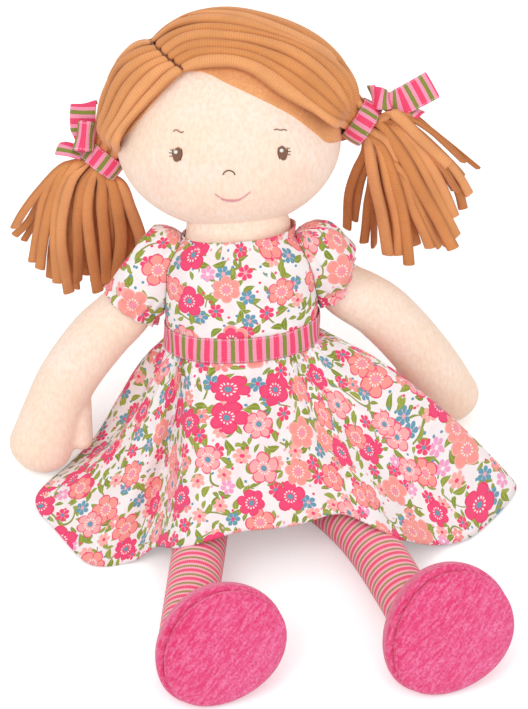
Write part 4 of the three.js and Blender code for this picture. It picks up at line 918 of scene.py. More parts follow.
def make_strips(side):
    """Rolled jersey strips from the parting over the skull, gathered into the tie."""
    rng = np.random.default_rng(7 if side == 'left' else 11)
    axis, centre = tie_axis[side], tie_centre[side]
    lines = edge_lines(side)
    t, skull = np.linspace(0, 1, strip_steps), np.linspace(0, 1, skull_steps)
    for k in range(len(lines) - 1):
        lift = np.interp(t, [0, 0.08, 0.2], [-1.0, -0.3, 0]) + rng.uniform(-0.15, 0.35) * np.sin(math.pi * t)
        path = head_point(unit(lines[k] + lines[k + 1]), lift + strip_height(side, t, k + 0.5))
        one, other = (head_point(lines[i], strip_height(side, t, i)) for i in (k, k + 1))
        lateral = (other - one)[:skull_steps]
        half = np.linalg.norm(lateral, axis=1) / 2 * 1.06
        # into the tie: over its rim, then inside the band; the strip by the face comes round below it
        toward = path[-1] - centre
        if k == 0:
            toward = toward + unit(face_point(229, 200) - centre) * 22
        radial = unit(toward - (toward @ axis) * axis)
        deep = 8.7 - 1.4 * (k % 2)
        ends = [centre + radial * (deep + 0.6) - axis * (band_width / 2 + 2.5),
                centre + radial * deep - axis * 1.5, centre + radial * (deep - 0.8) + axis * 5.5]
        path = path[:skull_steps]
        smooth, length = even(np.vstack([path[::4], ends]), strip_rings)
        # shares of the way over the skull, past 1 in the tie
        at = np.linspace(0, length, strip_rings) / run_along(path)[-1]
        narrowing = np.interp(at, [0.86, 1.08], [np.interp(0.86, skull, half), 2.7])
        half_w = np.clip(np.where(at > 0.86, narrowing, np.interp(at, skull, half)), 1.5, 4.6)
        half_h = np.interp(at, [0, 0.05, 0.2, 0.85, 1.1], [0.9, 1.6, 2.25, 2.1, 1.6])
        side_dir = np.stack([np.interp(at, skull, lateral[:, j]) for j in range(3)], 1)
        rim = np.cross(axis, radial)
        if rim @ side_dir[-1] < 0:
            rim = -rim
        share = np.clip((at - 0.84) / 0.2, 0, 1)[:, None]
        side_dir = unit(side_dir) * (1 - share) + rim * share
        rings = section_rings(smooth, half_w, half_h, side_dir, 16, 2.2)
        uv = cloth_uv(np.linspace(0, strip_width, 17), np.linspace(0, length, strip_rings))
        strip = grid_piece("hair_strip_%s_%d" % (side, k + 1), rings, jersey_tones_and_shade[int(rng.integers(3))],
                           wrap=True, ends=True, uv=uv)
        rounded(strip)
        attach(strip, "head")
        if k == 0:
            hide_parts("hair_strips_" + side)


for side in ('left', 'right'):
    make_strips(side)

seam_path = head_point(unit(spline(parting, np.linspace(0.01, 1, 80))), strip_rise + 0.1)
seam = grid_piece("parting_seam", section_rings(seam_path, 0.38, 0.38, [1.0, 0, 0], 10),
                  thread("thread_hair", (0.22, 0.075, 0.03)), wrap=True, ends=True)
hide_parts("parting_seam")
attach(seam, "head")

# ---------------------------------------------------------------- bunches
# each strand: pixels of the photograph from near the tie to its cut end, then how near the eye it lies, width
strands = {
    'left': [
        ([(66, 165), (40, 190), (22, 214), (15, 227)], 5, 3.3),
        ([(60, 176), (42, 198), (28, 222), (15, 235)], -2, 2.6),
        ([(56, 190), (40, 214), (24, 240)], -5, 2.4),
        ([(60, 170), (45, 195), (38, 230), (33, 261)], 4, 3.4),
        ([(68, 166), (52, 200), (44, 236), (40, 268)], 6, 3.5),
        ([(64, 190), (56, 225), (52, 250), (50, 277)], -3, 3.0),
        ([(76, 165), (60, 195), (55, 236), (58, 282)], 8, 3.8),
        ([(74, 176), (64, 205), (61, 240), (69, 292)], 9, 3.9),
        ([(86, 172), (72, 196), (71, 240), (76, 288)], 2, 3.0),
        ([(85, 180), (78, 212), (78, 246), (78, 281)], 8, 3.8),
        ([(88, 190), (84, 220), (85, 250), (86, 274)], -2, 3.0),
        ([(92, 178), (87, 205), (90, 240), (98, 291)], 8, 4.0),
        ([(97, 190), (94, 225), (98, 255), (104, 285)], -3, 3.2),
        ([(102, 178), (102, 208), (105, 240), (107, 282)], 8, 4.0),
        ([(107, 190), (110, 220), (111, 250), (109, 290)], 2, 3.0),
        ([(111, 182), (118, 212), (121, 240), (115, 280)], 7, 4.2),
        ([(116, 188), (126, 215), (130, 245), (126, 276)], -2, 3.4),
        ([(119, 183), (130, 208), (139, 232), (143, 250)], 4, 4.2),
        ([(112, 190), (124, 225), (134, 250), (136, 270)], -7, 3.4),
        ([(80, 185), (66, 225), (64, 260), (66, 284)], -7, 3.4),
        ([(95, 190), (92, 230), (94, 262), (95, 282)], -8, 3.4),
    ],
    'right': [
        ([(406, 113), (436, 134), (478, 168)], -2, 2.4),
        ([(404, 116), (430, 130), (452, 150), (463, 161)], 2, 3.2),
        ([(402, 121), (430, 143), (452, 164), (461, 174)], -1, 3.4),
        ([(398, 122), (424, 146), (444, 170), (456, 190)], 4, 3.6),
        ([(392, 114), (420, 138), (448, 164)], 7, 4.0),
        ([(404, 124), (446, 160), (460, 178), (469, 194)], 0, 3.2),
        ([(410, 132), (444, 168), (458, 190), (463, 208)], -3, 3.2),
        ([(420, 140), (440, 166), (455, 189)], -5, 3.0),
        ([(404, 130), (432, 168), (446, 196), (454, 216)], 3, 3.6),
        ([(384, 128), (402, 154), (420, 188), (434, 212), (453, 248)], 9, 4.2),
        ([(396, 130), (418, 160), (436, 196), (456, 236)], 5, 3.8),
        ([(392, 140), (412, 176), (430, 208), (448, 246)], 2, 3.8),
        ([(386, 140), (396, 164), (405, 184)], 8, 3.6),
        ([(368, 142), (374, 180), (382, 216), (388, 254)], 8, 4.2),
        ([(378, 142), (390, 188), (398, 224), (399, 254)], 7, 4.0),
        ([(380, 144), (398, 192), (406, 232), (409, 264)], 8, 3.8),
        ([(400, 170), (412, 206), (424, 232), (430, 247)], 5, 3.8),
        ([(404, 172), (420, 204), (432, 230), (440, 245)], 4, 3.8),
        ([(398, 184), (404, 210), (412, 230), (416, 244)], -3, 3.6),
        ([(366, 150), (356, 172), (349, 194), (347, 228)], -4, 3.4),
        ([(366, 160), (360, 184), (356, 206), (354, 220)], -6, 3.0),
        ([(372, 176), (368, 204), (366, 226), (364, 242)], -5, 3.2),
        ([(376, 186), (374, 214), (374, 236), (374, 245)], -6, 3.2),
        ([(376, 150), (384, 196), (392, 236), (394, 250)], -2, 3.6),
        ([(410, 150), (428, 186), (442, 214), (450, 230)], -7, 3.6),
    ],
}


# where the strands hang: Y at the tie, and how much farther back at their cut ends
bunch_depth = {'left': (62.0, 15.0), 'right': (67.5, 9.0)}
strand_rings, strand_trim, cut_height = 52, 0.8, 0.25
opening_across, opening_over = 7.2, 6.8


def make_bunch(side):
    """Loose strands from inside the band to their cut ends, spread over the band's opening."""
    axis, centre = tie_axis[side], tie_centre[side]
    rng = np.random.default_rng(23 if side == 'left' else 29)
    across = unit(np.cross(axis, [0, 1, 0]))
    over = np.cross(across, axis)
    if over[1] > 0:
        across, over = -across, -over
    depth, back = bunch_depth[side]
    for k, (route, near, half) in enumerate(strands[side]):
        first = photo_point(*route[0], depth - near)
        spread = (first - centre) - ((first - centre) @ axis) * axis
        beside = float(np.clip(spread @ across / 10, -1, 1))
        ahead = np.clip(near / 8, -1, 1) * math.sqrt(1 - 0.8 * beside ** 2)
        spot = beside * opening_across * across + ahead * opening_over * over
        drop = np.linspace(0.15, 1, len(route))
        path = [centre + spot * 0.8 - axis * 4, centre + spot + axis * (band_width / 2 + 0.5)]
        path += [photo_point(x, y, depth + back * d - near * (0.6 + 0.4 * d)) for (x, y), d in zip(route, drop)]
        smooth, length = even(path, strand_rings)
        at = np.linspace(0, 1, strand_rings)
        half = half * strand_trim
        half_w = np.interp(at, [0, 0.12, 0.3, 0.9, 1], [2.3, 2.5, half, half, half * 1.04])
        half_h = np.interp(at, [0, 0.12, 0.3, 0.96, 1], [1.5, 1.6, half * 0.62, half * 0.5, half * 0.45])
        sway = rng.uniform(-0.5, 0.5) + rng.uniform(-0.6, 0.6) * at
        facing = np.stack([np.cos(sway), np.sin(sway), np.zeros_like(sway)], 1)
        rings = section_rings(smooth, half_w, half_h, facing, 16, 2.6)
        cut = rings[-1] + unit(smooth[-1] - smooth[-2]) * cut_height
        rings = np.concatenate([rings, cut[None]])
        down = np.append(np.linspace(0, length, strand_rings), length + cut_height)
        uv = cloth_uv(np.linspace(0, strip_width, 17), down)
        # strands lying behind the others take the darker copy, as painted shade
        tone = int(rng.integers(3))
        strand = grid_piece("hair_strand_%s_%d" % (side, k + 1), rings, jersey_tones_and_shade[tone if near > -2 else 3],
                            wrap=True, ends=True, uv=uv)
        rounded(strand)
        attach(strand, "bunch_" + side)
        if k == 0:
            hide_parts("hair_bunch_" + side)


for side in ('left', 'right'):
    make_bunch(side)


# ---------------------------------------------------------------- ribbons in the hair
def ribbon_uv(width, length, rows, columns):
    return cloth_uv(np.linspace(-width / 2, width / 2, columns), np.linspace(0, length, rows))


def make_band(side, material):
    """Ribbon wound once round the tie, a little crowned and uneven."""
    axis, centre = tie_axis[side], tie_centre[side]
    a = unit(np.cross(axis, [0, 0, 1]))
    a = a if a[1] > 0 else -a
    b = np.cross(axis, a)
    turn = np.linspace(0, 2 * math.pi, 65)
    out = tie_radius * 1.1 + seam_gap + 0.1
    s = np.linspace(-0.5, 0.5, 7)
    wave = 1 + 0.018 * np.sin(3 * turn) + 0.012 * np.sin(5 * turn + 1)
    radius = (out * wave)[:, None] + 0.5 * (1 - (2 * s) ** 2)
    spoke = np.cos(turn)[:, None] * a + np.sin(turn)[:, None] * b
    grid = centre + (band_width * s)[:, None] * axis + spoke[:, None] * radius[..., None]
    length = 2 * math.pi * out
    band = grid_piece("hair_ribbon_" + side, grid[:, ::-1], material, uv=ribbon_uv(band_width, length, 65, 7))
    thick(band, 0.7, 1)
    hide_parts("hair_ribbon_" + side)
    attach(band, "head")


# where the knot sits from the tie, then each strip: its width, the direction across it and its route from the knot
bows = {
    'left': ([-0.625, -0.12, 0.78], [
        (0.92, [0.97, 0, 0.2], [[0.02, 0, 0], [0.02, -0.06, 0.3], [0.02, -0.12, 0.68], [0.04, 0.02, 0.98],
                                [0.05, 0.16, 0.9]]),
        (1.08, [0.22, 0, 0.97], [[0.3, -0.02, 0.1], [0.33, -0.16, 0.1], [0.12, -0.36, 0.1], [-0.12, -0.22, 0.13],
                                 [-0.15, -0.02, 0.14]]),
        (0.9, [0.97, 0, -0.22], [[-0.25, 0.1, -0.05], [-0.33, -0.04, -0.22], [-0.37, -0.15, -0.4]])]),
    'right': ([0.66, 0.24, 0.68], [
        (0.8, [-0.31, 0, 0.95], [[0.2, 0.02, -0.03], [0.17, -0.13, -0.02], [-0.06, -0.25, 0.02],
                                 [-0.28, -0.06, 0.1], [-0.1, 0.1, 0.12]]),
        (1, [-0.49, 0, 0.87], [[0.04, 0.02, -0.05], [0.44, -0.05, -0.04], [0.87, -0.05, 0.17], [1.3, 0, 0.41]]),
        (0.7, [-0.26, 0.76, 0.59], [[0.1, 0.1, -0.06], [0.45, 0.12, -0.18], [0.76, 0.12, -0.24],
                                    [1.02, 0.06, -0.36]])]),
}


knot_lift, knot_radii = 5.64, (3.6, 2.8, 4.2)


def make_bow(side, material):
    """Two loops and an end of ribbon, or a loop and two ends, round a creased knot."""
    aim, strips = bows[side]
    knot_at = tie_centre[side] + unit(aim) * (tie_radius + seam_gap + knot_lift)
    base = leaning_frame(knot_at, bow_turn, 0)
    for k, (wide, across, route) in enumerate(strips):
        path, length = even(in_frame(base, np.array(route) * bow_reach), 30)
        heading = tangents(path)
        width = turned(base, unit(across))
        side_dir = unit(width - (heading @ width)[:, None] * heading)
        outward = np.cross(heading, side_dir)
        size = wide * bow_width
        s = np.linspace(-0.5, 0.5, 9)
        pinch = np.interp(np.linspace(0, 1, 30), [0, 0.25, 1], [0.55, 0.95, 1.0])
        curl = 0.36 * np.cos(2 * math.pi * s)
        grid = path[:, None] + side_dir[:, None] * (s[None, :, None] * size * pinch[:, None, None]) \
            + outward[:, None] * curl[None, :, None]
        strip = grid_piece("bow_%s_%d" % (side, k + 1), grid, material, uv=ribbon_uv(size, length, 30, 9))
        thick(strip, 0.6, 0)
        rounded(strip)
        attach(strip, "head")
        if k == 0:
            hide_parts("bow_" + side)
    bpy.ops.mesh.primitive_uv_sphere_add(segments=28, ring_count=18, radius=1, location=(0, 0, 0))
    knot = bpy.context.object
    knot.name = knot.data.name = "bow_knot_" + side
    points = coordinates(knot) * MM
    creases = 1 + 0.08 * np.sin(5 * np.arctan2(points[:, 2], points[:, 0]))
    reshape(knot, in_frame(base, points * creases[:, None] * np.array(knot_radii)))
    knot.data.polygons.foreach_set("use_smooth", [True] * len(knot.data.polygons))
    knot.data.materials.append(material)
    knot.select_set(False)
    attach(knot, "head")


ribbon_bow = striped_ribbon(bow_width)
ribbon_band = striped_ribbon(band_width, 0.3)
for side in ('left', 'right'):
    make_band(side, ribbon_band)
    make_bow(side, ribbon_bow)

# ---------------------------------------------------------------- body
# share of the height, then shares of the half width and the half depth
body_rows = np.array([
    [0, 0.42, 0.4], [0.03, 0.62, 0.6], [0.08, 0.8, 0.79], [0.15, 0.93, 0.93], [0.24, 1, 1], [0.4, 0.98, 1],
    [0.53, 0.93, 0.97], [0.62, 0.9, 0.94], [0.75, 0.91, 0.92], [0.88, 0.91, 0.88], [0.93, 0.88, 0.78],
    [0.965, 0.78, 0.66], [1, 0.62, 0.56]])


def body_outline(level):
    """Half width and half depth of the body at a level."""
    at = (level - body_bottom) / (body_top - body_bottom)
    return (np.interp(at, body_rows[:, 0], body_rows[:, 1]) * body_half_width,
            np.interp(at, body_rows[:, 0], body_rows[:, 2]) * body_half_depth)


def neck_share(level):
    """Share of the neck's size at a level."""
    return np.sqrt(np.clip(1 - ((level - neck_height) / neck_radius) ** 2, 0, 1))


def make_torso():
    """Trunk with the stump of the neck, and the wide seat it rests on, as one stuffed skin."""
    levels = np.concatenate([body_bottom + np.array([0, 0.01, 0.03, 0.06, 0.1]) * (body_top - body_bottom),
                             np.linspace(-10, 106, 34)])
    rings = []
    for level in levels:
        (wide, deep), (c, s) = body_outline(level), squared_circle(full_turn(56))
        rings.append(np.stack([wide * c, deep * s, np.full(56, level)], -1))
    for level in np.linspace(109, neck_height + neck_radius - 0.8, 12):
        share, (c, s) = neck_share(level), squared_circle(full_turn(56), 1)
        rings.append(np.stack([neck_half_width * share * c, neck_radius * share * s, np.full(56, level)], -1))
    trunk = grid_piece("trunk", in_frame(body_frame, rings), velour_skin, wrap=True, ends=True)
    rings = []
    for at, wide, deep in ((0, 0.8, 0.91), (0.14, 0.9, 0.97), (0.4, 0.97, 1), (0.8, 0.97, 0.98), (1.1, 0.9, 0.92)):
        c, s = squared_circle(full_turn(48))
        back = seat_back - seat_half_depth + deep * seat_half_depth * s
        rings.append(np.stack([seat_aside + wide * body_half_width * c, back, np.full(48, at * body_half_depth)], -1))
    seat = grid_piece("seat", np.array(rings), velour_skin, wrap=True, ends=True)
    torso = blended(joined("body_skin", [trunk, seat], velour_skin), 2.0, 4)
    laid_on_floor(torso, coordinates(torso))
    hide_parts("body_skin", "body_filling")
    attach(torso, "body")


make_torso()

# ---------------------------------------------------------------- arms
shoulders = {s: in_frame(body_frame, [side_sign[s] * shoulder_side, 0, shoulder_height]) for s in side_sign}
# from the shoulder: x and y as shares of the reach, then how far down as a share of the fall to the floor
arm_routes = {
    'left': [[-0.117, -0.071, 0.248], [-0.235, -0.096, 0.428], [-0.367, -0.149, 0.687], [-0.462, -0.239, 1]],
    'right': [[0.094, 0.008, 0.23], [0.237, 0.015, 0.395], [0.422, 0.029, 0.745], [0.512, 0.044, 1]],
}


def arm_path(side, count):
    """Middle line of the arm, from the shoulder to where the hand rests, and its length."""
    shoulder = shoulders[side]
    fall = shoulder[2] - hand_half_depth - seam_gap / 2
    points = [shoulder] + [shoulder + np.array([x * arm_reach, y * arm_reach, -z * fall])
                           for x, y, z in arm_routes[side]]
    return even(points, count)


# length of the sleeve to its elastic, and the line of its outer side in the photograph
sleeve_run = {'left': 26.0, 'right': 18.0}
sleeve_slope = {'left': ((151.6, 226.6), (107, 283.8)), 'right': ((357, 246), (345, 290))}


def flattened(points, side, inset=0.0):
    """Presses the outer side of the shoulder towards the slope its sleeve shows in the photograph."""
    (x0, y0), (x1, y1) = sleeve_slope[side]
    line = np.array([x1 - x0, y0 - y1])
    out = unit([1, 0, 0] * line[1:] * side_sign[side] * -1 + rise * line[0] * side_sign[side])
    over = (points - photo_point((x0 + x1) / 2, (y0 + y1) / 2, 30)) @ out + inset
    # full near the shoulder, none farther than 36 mm from it
    near = np.clip(1 - (np.linalg.norm(points - shoulders[side], axis=-1) - 26) / 10, 0, 1)
    return points - out * (np.maximum(0, over) * 0.85 * near)[..., None]


def make_arm(side):
    """Arm, shoulder and thumb as one stuffed skin."""
    path, length = arm_path(side, 60)
    at = np.linspace(0, 1, 60)
    gather = sleeve_run[side] / length
    places = [0, gather, gather + 0.1, 0.45, 0.8, 1]
    radii = [shoulder_radius, arm_gather, arm_radius - 0.9, arm_radius, arm_radius]
    half_a, half_b = (np.interp(at, places, radii + [hand]) for hand in (hand_half_width, hand_half_depth))
    ball = sphere_directions(np.linspace(0, math.pi, 16)[1:-1, None], full_turn(24))
    inward = np.array([-side_sign[side], 0, 0])
    corners = [path[41] + inward * 5, path[50] + inward * 14,
               path[57] + inward * (thumb_reach + 3.2) + tangents(path)[57] * 1.5]
    thumb_path, _ = even(corners, 12)
    swell = np.interp(np.linspace(0, 1, 12), [0, 0.6, 1], [8, 6.8, 5.8])
    forms = [grid_piece(name, grid, velour_skin, wrap=True, ends=True) for name, grid in (
        ("arm", stuffed_tube(path, half_a, half_b, [1.0, 0, 0], hand_tip, 40)),
        ("root", shoulders[side] + shoulder_radius * ball),
        ("thumb", stuffed_tube(thumb_path, swell, swell, [0, 0, 1.0], 5.4, 24)))]
    skin = blended(joined("arm_skin_" + side, forms, velour_skin), 1.3, 4)
    laid_on_floor(skin, flattened(coordinates(skin), side, 1.3))
    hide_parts("arm_skin_" + side, "arm_filling_" + side)
    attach(skin, "arm_" + side)


for side in ('left', 'right'):
    make_arm(side)

# ---------------------------------------------------------------- legs and shoes
# the soles look up and a little to the side, and their ovals are turned
lift, azimuth, twist = 33 * DEG, 12 * DEG, 40 * DEG
sole_normal = np.array([math.sin(azimuth) * math.cos(lift), -math.cos(azimuth) * math.cos(lift), math.sin(lift)])
level_axis = unit(np.cross([0, 0, 1], sole_normal))
rise_axis = unit(np.cross(sole_normal, level_axis))
toe_axis = level_axis * math.cos(twist) + rise_axis * math.sin(twist)
flank_axis = -level_axis * math.sin(twist) + rise_axis * math.cos(twist)
hips = {s: in_frame(body_frame, [side_sign[s] * hip_side, hip_forward, hip_drop]) for s in side_sign}
# x and y from the hip, as shares of the leg's reach
knee_at = {'left': (-0.02, -0.336), 'right': (0.281, -0.329)}
sole_at = {'left': (0.056, -1.0007), 'right': (0.58, -0.945)}


def shoe_ring(centre, out, scale, count=96):
    """Egg-shaped outline of the shoe, out from the plane of its sole's seam."""
    angle = full_turn(count)
    egg = 1 + 0.13 * np.cos(angle)
    return centre + sole_normal * out + toe_axis * (np.cos(angle) * (shoe_half_length * scale))[:, None] \
        + flank_axis * (np.sin(angle) * egg * (shoe_half_width * scale))[:, None]


def shoe_rest():
    """Height of the shoe's middle when its heel is pressed flat on the floor."""
    low = min(shoe_ring(np.zeros(3), -shoe_depth * math.sin(a), math.cos(a) ** 0.8, 20)[:, 2].min()
              for a in (math.pi / 2) * np.arange(5) / 5)
    return -low - shoe_flat


shoe_rise = shoe_rest()


def sole_centre(side):
    """Middle of the sole's seam."""
    x, y = sole_at[side]
    return np.array([hips[side][0] + x * leg_reach, hips[side][1] + y * leg_reach, shoe_rise])


def make_shoe(side):
    """A bun of brushed velour, and a padded sole sewn on a little inside its edge."""
    centre = sole_centre(side)
    finish = shoe_velour("shoe_velour_" + side, centre)
    edge = -4.6
    bun = [(edge - (shoe_depth + edge) * math.sin(a), max(0.001, math.cos(a)) ** 0.8)
           for a in np.linspace(math.pi / 2, 0, 26)[1:]]
    rim = [(-3.1, 0.998), (-1.8, 0.985), (-0.8, 0.962), (-0.4, 0.935), (-0.9, 0.905)]
    pad = [(-1.0, 0.88), (-0.7, 0.935), (0.1, 0.958), (1.2, 0.956), (2.5, 0.925), (3.7, 0.865), (4.8, 0.765),
           (5.6, 0.62), (6.0, 0.4), (6.1, 0.18)]
    aside = centre + (level_axis - rise_axis) / math.sqrt(2) * 2.6
    upper, sole = (grid_piece(name + side, np.array([shoe_ring(middle, *ring) for ring in rings]), finish,
                              wrap=True, ends=True)
                   for name, middle, rings in (("shoe_upper_", centre, bun + rim), ("shoe_sole_", aside, pad)))
    for piece in (upper, sole):
        points = coordinates(piece)
        if side == 'left':
            # this shoe is a little shorter above its middle
            above = np.maximum(0, (points - centre) @ rise_axis)
            points = points - rise_axis * (above * 0.15)[:, None]
        laid_on_floor(piece, points)
        rounded(piece)
        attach(piece, "leg_" + side)
    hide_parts("shoe_upper_" + side, "shoe_filling_" + side)
    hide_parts("shoe_sole_" + side)


def make_leg(side):
    """Tube of knit from inside the hip into the shoe."""
    x, y = knee_at[side]
    knee = np.array([hips[side][0] + x * leg_reach, hips[side][1] + y * leg_reach, leg_radius + 3 * seam_gap])
    ankle = sole_centre(side) - sole_normal * shoe_depth * 0.62 - toe_axis * 9
    if side == 'left':
        ankle[0] -= 6.5
    ankle[2] = max(ankle[2], leg_radius + seam_gap)
    path, length = even([hips[side], knee, ankle], 70)
    half = np.linspace(leg_radius, leg_ankle, 70)
    root = section_rings(path[:2] - (path[1] - path[0]) * 2, half[:1] * 0.75, half[:1] * 0.75, [1.0, 0, 0], 48)
    rings = np.concatenate([root[:1], stuffed_tube(path, half, half, [1.0, 0, 0], 6, 48)])
    dome = length + 6 * np.sin(np.linspace(0, math.pi / 2, 10)[1:-1])
    down = np.concatenate([[-3], np.linspace(0, length, 70), dome])
    uv = cloth_uv(np.linspace(0, 2 * math.pi * leg_radius, 49), down)
    leg = grid_piece("leg_skin_" + side, rings, knit_finish, wrap=True, ends=True, uv=uv)
    laid_on_floor(leg, coordinates(leg), 0.4)
    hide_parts("leg_skin_" + side, "leg_filling_" + side)
    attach(leg, "leg_" + side)


knit_finish = striped_knit()
for side in ('left', 'right'):
    make_leg(side)
    make_shoe(side)

# ---------------------------------------------------------------- dress
cotton = floral_cotton("floral_cotton")


def dress_outline(level, grow):
    """Half width and half depth of the body with its neck, grown outwards."""
    wide, deep = body_outline(level)
    neck = neck_share(level)
    return np.maximum(wide, neck * neck_half_width) + grow, np.maximum(deep, neck * neck_radius) + grow


def dress_ring(level, grow, angle):
    """Points on the dress round the body, at a level for each angle."""
    wide, deep = dress_outline(level, grow)
    c, s = squared_circle(angle)
    return in_frame(body_frame, np.stack([wide * c, deep * s, level], -1))


def waist_level(angle):
    """The ribbon rises towards the sides, a little more at the viewer's right."""
    return waist_height + 1.25 * np.cos(angle) + 3.2 * np.cos(angle) ** 2


def make_bodice():
    """Plain bodice, cut out at the neck, hemmed under the ribbon."""
    turn = np.linspace(0, 2 * math.pi, 129) + math.pi / 2
    front = np.clip(-np.sin(turn), 0, 1)
    top = 110.6 + 1.9 * np.cos(turn) - 1.9 * front ** 2
    low = waist_level(turn) - 4
    rows = []
    for s in np.linspace(0, 1, 44):
        level = low + s * (top - low)
        crease = 0.35 * np.sin(9 * turn + 1.5 * np.sin(2 * turn)) * math.exp(-(s / 0.25) ** 2)
        hem = 0.25 * (s > 0.985)
        rows.append(dress_ring(level, bodice_outside + 0.2 + crease + hem, turn))
    grid = np.array(rows)
    uv = cloth_uv(run_along(grid[18]), np.linspace(0, 62, 44))
    bodice = grid_piece("dress_bodice", grid, cotton, uv=uv)
    thick(bodice, 0.8, -1)
    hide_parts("bodice")
    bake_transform(bodice)


def make_waist_ribbon():
    """Ribbon over the seam of bodice and skirt, crowned and a little puckered."""
    turn = np.linspace(0, 2 * math.pi, 161) + math.pi / 2
    across = np.linspace(-0.5, 0.5, 9)
    rows = []
    for s in across:
        out = bodice_outside + seam_gap + 0.7 + 0.35 * (1 - (2 * s) ** 2) + 0.3 * np.sin(5 * turn + 4 * s)
        rows.append(dress_ring(waist_level(turn) + s * waist_ribbon, out, turn))
    grid = np.array(rows)
    run = run_along(grid[4])
    uv = cloth_uv(run, across * waist_ribbon)[..., ::-1]
    ribbon = grid_piece("dress_ribbon", grid, striped_ribbon(waist_ribbon, 0.55), uv=uv)
    thick(ribbon, 0.7, -1)
    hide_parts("waist_ribbon")
    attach(ribbon, "body")


def clear_of_body(points, side, grow):
    """Moves points sideways, out of the dress round the body."""
    local = (points - body_frame[:3, 3]) @ body_frame[:3, :3]
    wide, deep = dress_outline(local[..., 2], grow)
    edge = wide * np.clip(1 - np.abs(local[..., 1] / deep) ** 2.5, 0, 1) ** 0.4
    x = local[..., 0] * side_sign[side]
    return points + (np.maximum(0, edge - x) * side_sign[side])[..., None] * body_frame[:3, 0]


def make_sleeve(side):
    """A puff drawn in at the armhole and by the elastic, then a small ruffle."""
    steps = 400
    path, length = arm_path(side, steps)
    distance = np.linspace(0, length, steps)
    heading = tangents(path)
    turn = np.linspace(0, 2 * math.pi, 129)
    run, top = sleeve_run[side], 16.6
    dome = -top * np.cos(np.linspace(0.01, math.pi / 2, 18))
    stations = np.concatenate([dome, np.linspace(0, run, 26)[1:], run + np.linspace(0.8, 4.2, 6)])
    rows = []
    for d in stations:
        i = min(int(np.searchsorted(distance, max(0, d))), steps - 1)
        centre = path[i] + heading[i] * min(0, d)
        if d < 0:
            radius = top * math.sqrt(1 - (d / top) ** 2)
        else:
            radius = np.interp(d, [0, 0.35 * run, 0.65 * run, 0.88 * run, run, run + 1.5, run + 4.2],
                               [top, 17.8, 17.8, 16.7, 15.2, 15.9, 16.8])
        a = unit(np.array([1.0, 0, 0]) - heading[i][0] * heading[i])
        b = np.cross(heading[i], a)
        cap = 0.5 * math.exp(-((d + 8) / 7) ** 2) * np.sin(15 * turn + 0.5)
        hem = 0.8 * math.exp(-((d - run) / 6) ** 2) * np.sin(21 * turn + 1.3 * np.sin(2 * turn))
        ruffle = 0.9 * max(0.0, (d - run) / 4.2) * np.sin(12 * turn + 0.8 * np.sin(3 * turn))
        soft = 0.5 * np.sin(3 * turn + 0.06 * d) * min(1.0, (d + top) / 10)
        size = radius + cap * (d > -top * 0.97) + (ruffle if d > run else hem) + soft
        rows.append(centre + a * (np.cos(turn) * size)[:, None] + b * (np.sin(turn) * size)[:, None])
    grid = clear_of_body(flattened(np.array(rows), side), side, bodice_outside + 0.5)
    down = np.concatenate([[0], np.cumsum(np.linalg.norm(np.diff(grid, axis=0), axis=2).mean(1))])
    uv = cloth_uv(turn * 17, down) + [0.31 if side == 'left' else 0.77, 0.13]
    sleeve = grid_piece("dress_sleeve_" + side, grid, cotton, uv=uv)
    finished(sleeve, 'WELD', merge_threshold=0.00005)
    thick(sleeve, 0.6, -1)
    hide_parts("sleeve_" + side, "sleeve_elastic_" + side)
    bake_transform(sleeve)


# round the hem: x, y and height as shares of the skirt's reach, then the point the cloth bends towards between
# waist and hem: its share of the waist's height and its share of the way out
hem_rows = np.array([
    [-0.895, -0.19, 0, 0.05, 0.36], [-0.79, -0.395, 0, 0.07, 0.44], [-0.64, -0.61, 0, 0.13, 0.44],
    [-0.46, -0.58, 0, 0.05, 0.32], [-0.375, -0.575, 0.06, 0.06, 0.3], [-0.27, -0.69, 0.185, 0.18, 0.42],
    [-0.1, -0.7, 0.245, 0.17, 0.42], [0.07, -0.635, 0.228, 0.16, 0.42], [0.25, -0.565, 0.205, 0.16, 0.42],
    [0.43, -0.56, 0.243, 0.18, 0.43], [0.57, -0.625, 0.24, 0.26, 0.44], [0.715, -0.62, 0.15, 0.38, 0.45],
    [0.885, -0.5, 0.015, 0.5, 0.46], [1.03, -0.4, 0, 0.62, 0.5], [1.225, -0.11, 0, 0.8, 0.5],
    [1.02, 0.04, 0, 0.88, 0.56], [0.72, 0.2, 0, 0.86, 0.66], [0.57, 0.48, 0, 0.62, 0.55],
    [0.32, 0.66, 0, 0.5, 0.5], [0, 0.7, 0, 0.5, 0.5], [-0.34, 0.62, 0, 0.55, 0.55],
    [-0.57, 0.42, 0, 0.66, 0.62], [-0.63, 0.22, 0, 0.6, 0.6], [-0.76, 0.04, 0, 0.14, 0.38]])
# turns the cloth's heading at the waist, in radians, which slants the crease at the viewer's left
waist_turn = np.array([0, -0.05, -0.17, -0.25, -0.26, -0.2, -0.09] + [0] * 17)


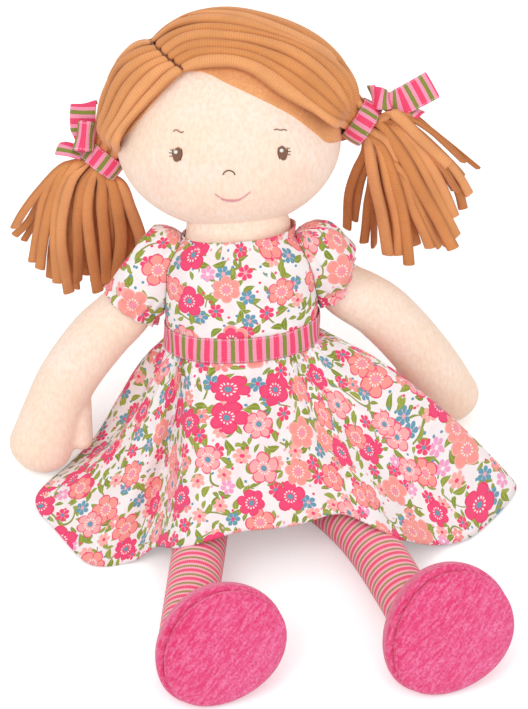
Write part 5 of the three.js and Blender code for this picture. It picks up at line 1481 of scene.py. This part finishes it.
def make_skirt():
    """Gathered into the waist, spread over the legs and the floor."""
    columns, rows, floor_clearance = 481, 46, 0.9
    at = np.linspace(0, 1, columns)
    hem = spline(hem_rows[:, :3] * skirt_reach + [0, 0, hem_lift], at, closed=True)
    full = spline(np.hstack([hem_rows[:, 3:], waist_turn[:, None]]), at, closed=True)
    heading = np.arctan2(hem[:, 1] - 0.12 * skirt_reach, hem[:, 0]) + full[:, 2]
    waist = dress_ring(waist_level(heading) - waist_ribbon / 2 + 1.5, bodice_outside, heading)
    out = unit(np.stack([hem[:, 0] - waist[:, 0], hem[:, 1] - waist[:, 1], np.zeros(columns)], -1))
    # gathers that run out below the waist, folds that run out lower, and folds down to the hem
    turn = 2 * math.pi * at
    fine = np.sin(46 * turn + 1.1 * np.sin(5 * turn)) * 0.6
    middle = np.sin(23 * turn + 0.9 * np.sin(3 * turn + 1)) * 0.6
    main = np.sin(10 * turn) * 1.5
    grid = []
    for t in np.linspace(0, 1, rows):
        control = waist + (hem - waist) * full[:, 1:2]
        control[:, 2] = hem[:, 2] + (waist[:, 2] - hem[:, 2]) * full[:, 0]
        place = waist * (1 - t) ** 2 + control * (2 * t * (1 - t)) + hem * t ** 2
        wave = main * math.sqrt(t) * (1 - 0.2 * t)
        wave = wave + fine * math.exp(-((t - 0.03) / 0.16) ** 2) + middle * math.exp(-((t - 0.3) / 0.3) ** 2)
        place = place + out * wave[:, None]
        place[:, 2] += np.abs(wave) * 0.3 * (0 < t < 1)
        grid.append(place)
    grid = np.array(grid)
    grid[..., 2] = np.maximum(grid[..., 2], floor_clearance)
    run = np.concatenate([[np.zeros(columns)], np.cumsum(np.linalg.norm(np.diff(grid, axis=0), axis=2), axis=0)])
    # the flat cloth is a sector of a ring
    sector, inner = 3.4, 74.0
    angle, radius = at * sector, inner + run
    uv = np.stack([radius * np.cos(angle), radius * np.sin(angle)], -1) * MM
    skirt = grid_piece("dress_skirt", grid, cotton, uv=uv, flip=True)
    finished(skirt, 'WELD', merge_threshold=0.00002)
    thick(skirt, 0.8, -1)
    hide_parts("skirt")
    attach(skirt, "body")


make_bodice()
make_waist_ribbon()
for side in ('left', 'right'):
    make_sleeve(side)
make_skirt()

# ---------------------------------------------------------------- finish
scene = bpy.context.scene
scene.view_settings.view_transform = 'Standard'
bpy.ops.object.select_all(action='DESELECT')
